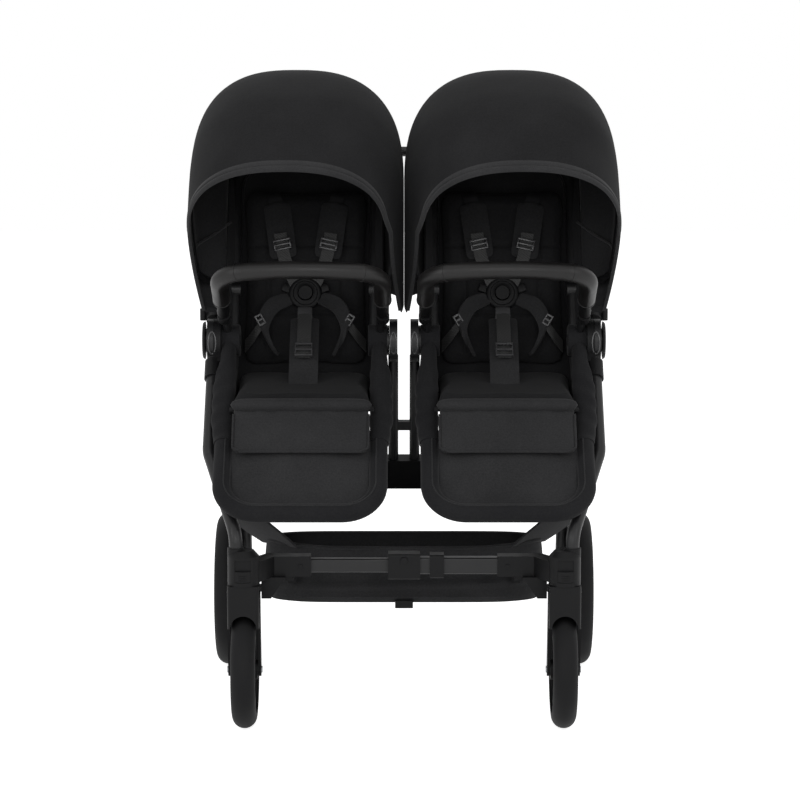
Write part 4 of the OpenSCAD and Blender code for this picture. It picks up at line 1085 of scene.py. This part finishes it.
def bar_ring(spot, run, radius):
    """A raised seam round the bar at a spot on its path."""
    ridge = [(radius - 1, -1.6), (radius + 0.9, -0.7), (radius + 0.9, 0.7), (radius - 1, 1.6)]
    piece = turned("bar_seam", ridge, (0, 0, 0), (0, 0, 0), leather_cloth)
    piece.rotation_euler = Vector(run).to_track_quat("Z", "Y").to_euler()
    piece.location = Vector(spot) * MM
    return settle(piece)


def bar_at(x):
    """Place and direction on the front of the bar at a distance from the seat's middle."""
    for a, b in zip(BAR_PATH, BAR_PATH[1:]):
        if a.x <= SEAT_X + x <= b.x and b.x > a.x + 0.01:
            return a.lerp(b, (SEAT_X + x - a.x) / (b.x - a.x)), (b - a).normalized()


bar_trim = [bar_ring(*bar_at(x), BAR_R) for x in (-112, 112)]
stitches = [bar_at(x)[0] + Vector((0, 11.6, -11.6)) for x in range(-110, 111, 10)]
bar_trim.append(tube("bar_stitching", stitches, 0.9, sewing_thread, sides=2))
for arm in (OUTER_ARM, INNER_ARM):
    foot = arm + BAR_SOCKET
    ends = [foot + BAR_RISE * reach for reach in (32, 62, 91)]
    bar_trim.append(tube("bar_end", ends, 11.5, moulded_nylon, sides=8))
    bar_trim.append(bar_ring(foot + BAR_RISE * 94, BAR_RISE, BAR_R - 0.4))
fit_pair(join("bumper_trim", bar_trim), "bumper", ())

# Hub covers: domed discs on the outer pins, and raised ovals on the front of the hubs

HUB_FACE = -370.3
DOME = [(0, 5.5), (20, 5.2), (27, 4), (29, 4.6), (32, 4.6), (34.5, 2.5), (35.5, 0), (0, 0)]
cover = turned("hub_cover", DOME, (HUB_FACE, HUB.y, HUB.z), (0, -90, 0), moulded_nylon)


def hub_oval(name, x, half_wide, half_tall):
    """A raised oval on the front of a hub."""
    line = []
    for i in range(40):
        turn = 2 * math.pi * i / 40
        rise = half_tall * math.sin(turn)
        line.append(Vector((x + half_wide * math.cos(turn), HUB.y - math.sqrt(HUB_R ** 2 - rise ** 2),
                            HUB.z + rise)))
    # The oval's grey is a painted highlight on the hub's black front
    return tube(name, line, 1.5, glossy_nylon_painted_highlight, closed=True, sides=3)


fit_pair(join("hub_cover", [cover, hub_oval("outer_oval", -356, 7, 20.5)]), "chassis", ())
fit_pair(hub_oval("post_oval", -19.5, 5.5, 20), "rear_frame", ())

# Basket: a sewn tub that sags between its corners, with side wings up to the front legs

BASKET_HALF = 258
BASKET_FRONT = -185
BASKET_REAR = 130
BASKET_FLOOR = 186
RIM_FRONT = 298
RIM_REAR = 262
# Share of the cloth that is wall, power of the plan's curve, and share of the plan left at the floor
WALL_SHARE = 0.5
PLAN_POWER = 0.3
FLOOR_SHARE = 0.985
# Height over which the wall rounds into the floor
FLOOR_ROUND = 8


def bell(value, middle, width):
    """A smooth bump of height one."""
    return math.exp(-((value - middle) / width) ** 2)


def basket_point(u, v):
    """Round the tub by u, and from the rim at 0 down the wall and in over the floor to the middle at 1."""
    turn = 2 * math.pi * u
    cx = math.copysign(abs(math.cos(turn)) ** PLAN_POWER, math.cos(turn))
    cy = math.copysign(abs(math.sin(turn)) ** PLAN_POWER, math.sin(turn))
    half_y = (BASKET_REAR - BASKET_FRONT) / 2
    mid_y = (BASKET_REAR + BASKET_FRONT) / 2
    front = max(-cy, 0) * (1 - abs(cx) ** 8)
    rim = RIM_FRONT + (RIM_REAR - RIM_FRONT) * ease((cy + 1) / 2)
    rim += 8 * max(abs(cx) - 0.6, 0) / 0.4 * ease(-cy) - 4 * front * math.cos(cx * math.pi / 2)
    if v <= WALL_SHARE:
        drop = v / WALL_SHARE
        bulge = 5 * math.sin(math.pi * drop)
        spread = FLOOR_SHARE + (1 - FLOOR_SHARE) * (1 - drop)
        # Three folds run across the front wall, two of them aslant
        slope = 0.05 * cx
        crease = 5 * bell(drop, 0.3 + slope, 0.1) + 8 * bell(drop, 0.68 - slope, 0.08)
        crease += 5 * bell(drop, 0.9, 0.05)
        x = cx * (BASKET_HALF * spread + bulge - 3)
        y = mid_y + cy * (half_y * spread + bulge - 6 + crease * front)
        return (x, y, rim + (BASKET_FLOOR + FLOOR_ROUND - rim) * drop)
    inward = (v - WALL_SHARE) / (1 - WALL_SHARE)
    edge_round = min(inward * 5, 1)
    x = cx * BASKET_HALF * FLOOR_SHARE * (1 - inward)
    y = mid_y + cy * half_y * FLOOR_SHARE * (1 - inward)
    return (x, y, BASKET_FLOOR + FLOOR_ROUND * (1 - edge_round) ** 2 + 2)


basket = wrapped("basket", 120, 44, basket_point, basket_canvas, CLOTH_T)
hem_line = [Vector(basket_point(i / 120, 0)) for i in range(120)]
basket_hem = tube("basket_hem", hem_line, 3.2, basket_canvas, closed=True, sides=3)
# Edges of the side wings, from the rim up to the front legs
WING_FRONT = ((196, -187, 298), (232, -204, 334), (274, -240, 376), (322, -284, 416))
WING_REAR = ((262, -96, 290), (300, -150, 330), (318, -205, 370), (334, -262, 428))
wing_sheets = []
for side in (-1, 1):
    front_edge = [Vector((side * x, y, z)) for x, y, z in WING_FRONT]
    rear_edge = [Vector((side * x, y, z)) for x, y, z in WING_REAR]

    def wing_point(u, v, a=front_edge, b=rear_edge, s=side):
        spot = along(a, v).lerp(along(b, v), u)
        hollow = math.sin(math.pi * v) * math.sin(math.pi * u)
        return spot + Vector((-s * 8 * hollow, 6 * hollow, -8 * hollow))
    wing_sheets.append(cloth_grid("basket_wing", 14, 22, wing_point, basket_canvas, CLOTH_T))
    front_line = [along(front_edge, i / 16) for i in range(17)]
    wing_sheets.append(tube("wing_edge", front_line, 2.2, basket_canvas, sides=2))
clip = block("basket_clip", (33, 8, 15), (0, -181, 190), moulded_nylon, 1.5)
tub = join("basket_tub", [basket, basket_hem, *wing_sheets])
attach(tub, "chassis")
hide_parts("basket")
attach(clip, "chassis")

# Finishes of the CAD nodes

FINISHES = {
    powder_coat: ("front_legs", "handle_sleeves", "front_cross_bar", "rear_legs", "center_posts", "rear_axle",
                  "handle_frame", "seat_frame"),
    leather_cloth: ("handle_grip", "bumper_bar"),
    foam_rubber: ("front_tyre", "rear_tyre"),
    zinc_steel: ("front_axle", "brake_pin"),
}
finish_by_node = {node: finish for finish, nodes in FINISHES.items() for node in nodes}
for name, cad in frame["nodes"].items():
    plain = name.replace("left_", "").replace("right_", "")
    paint(cad, finish_by_node.get(plain, moulded_nylon))
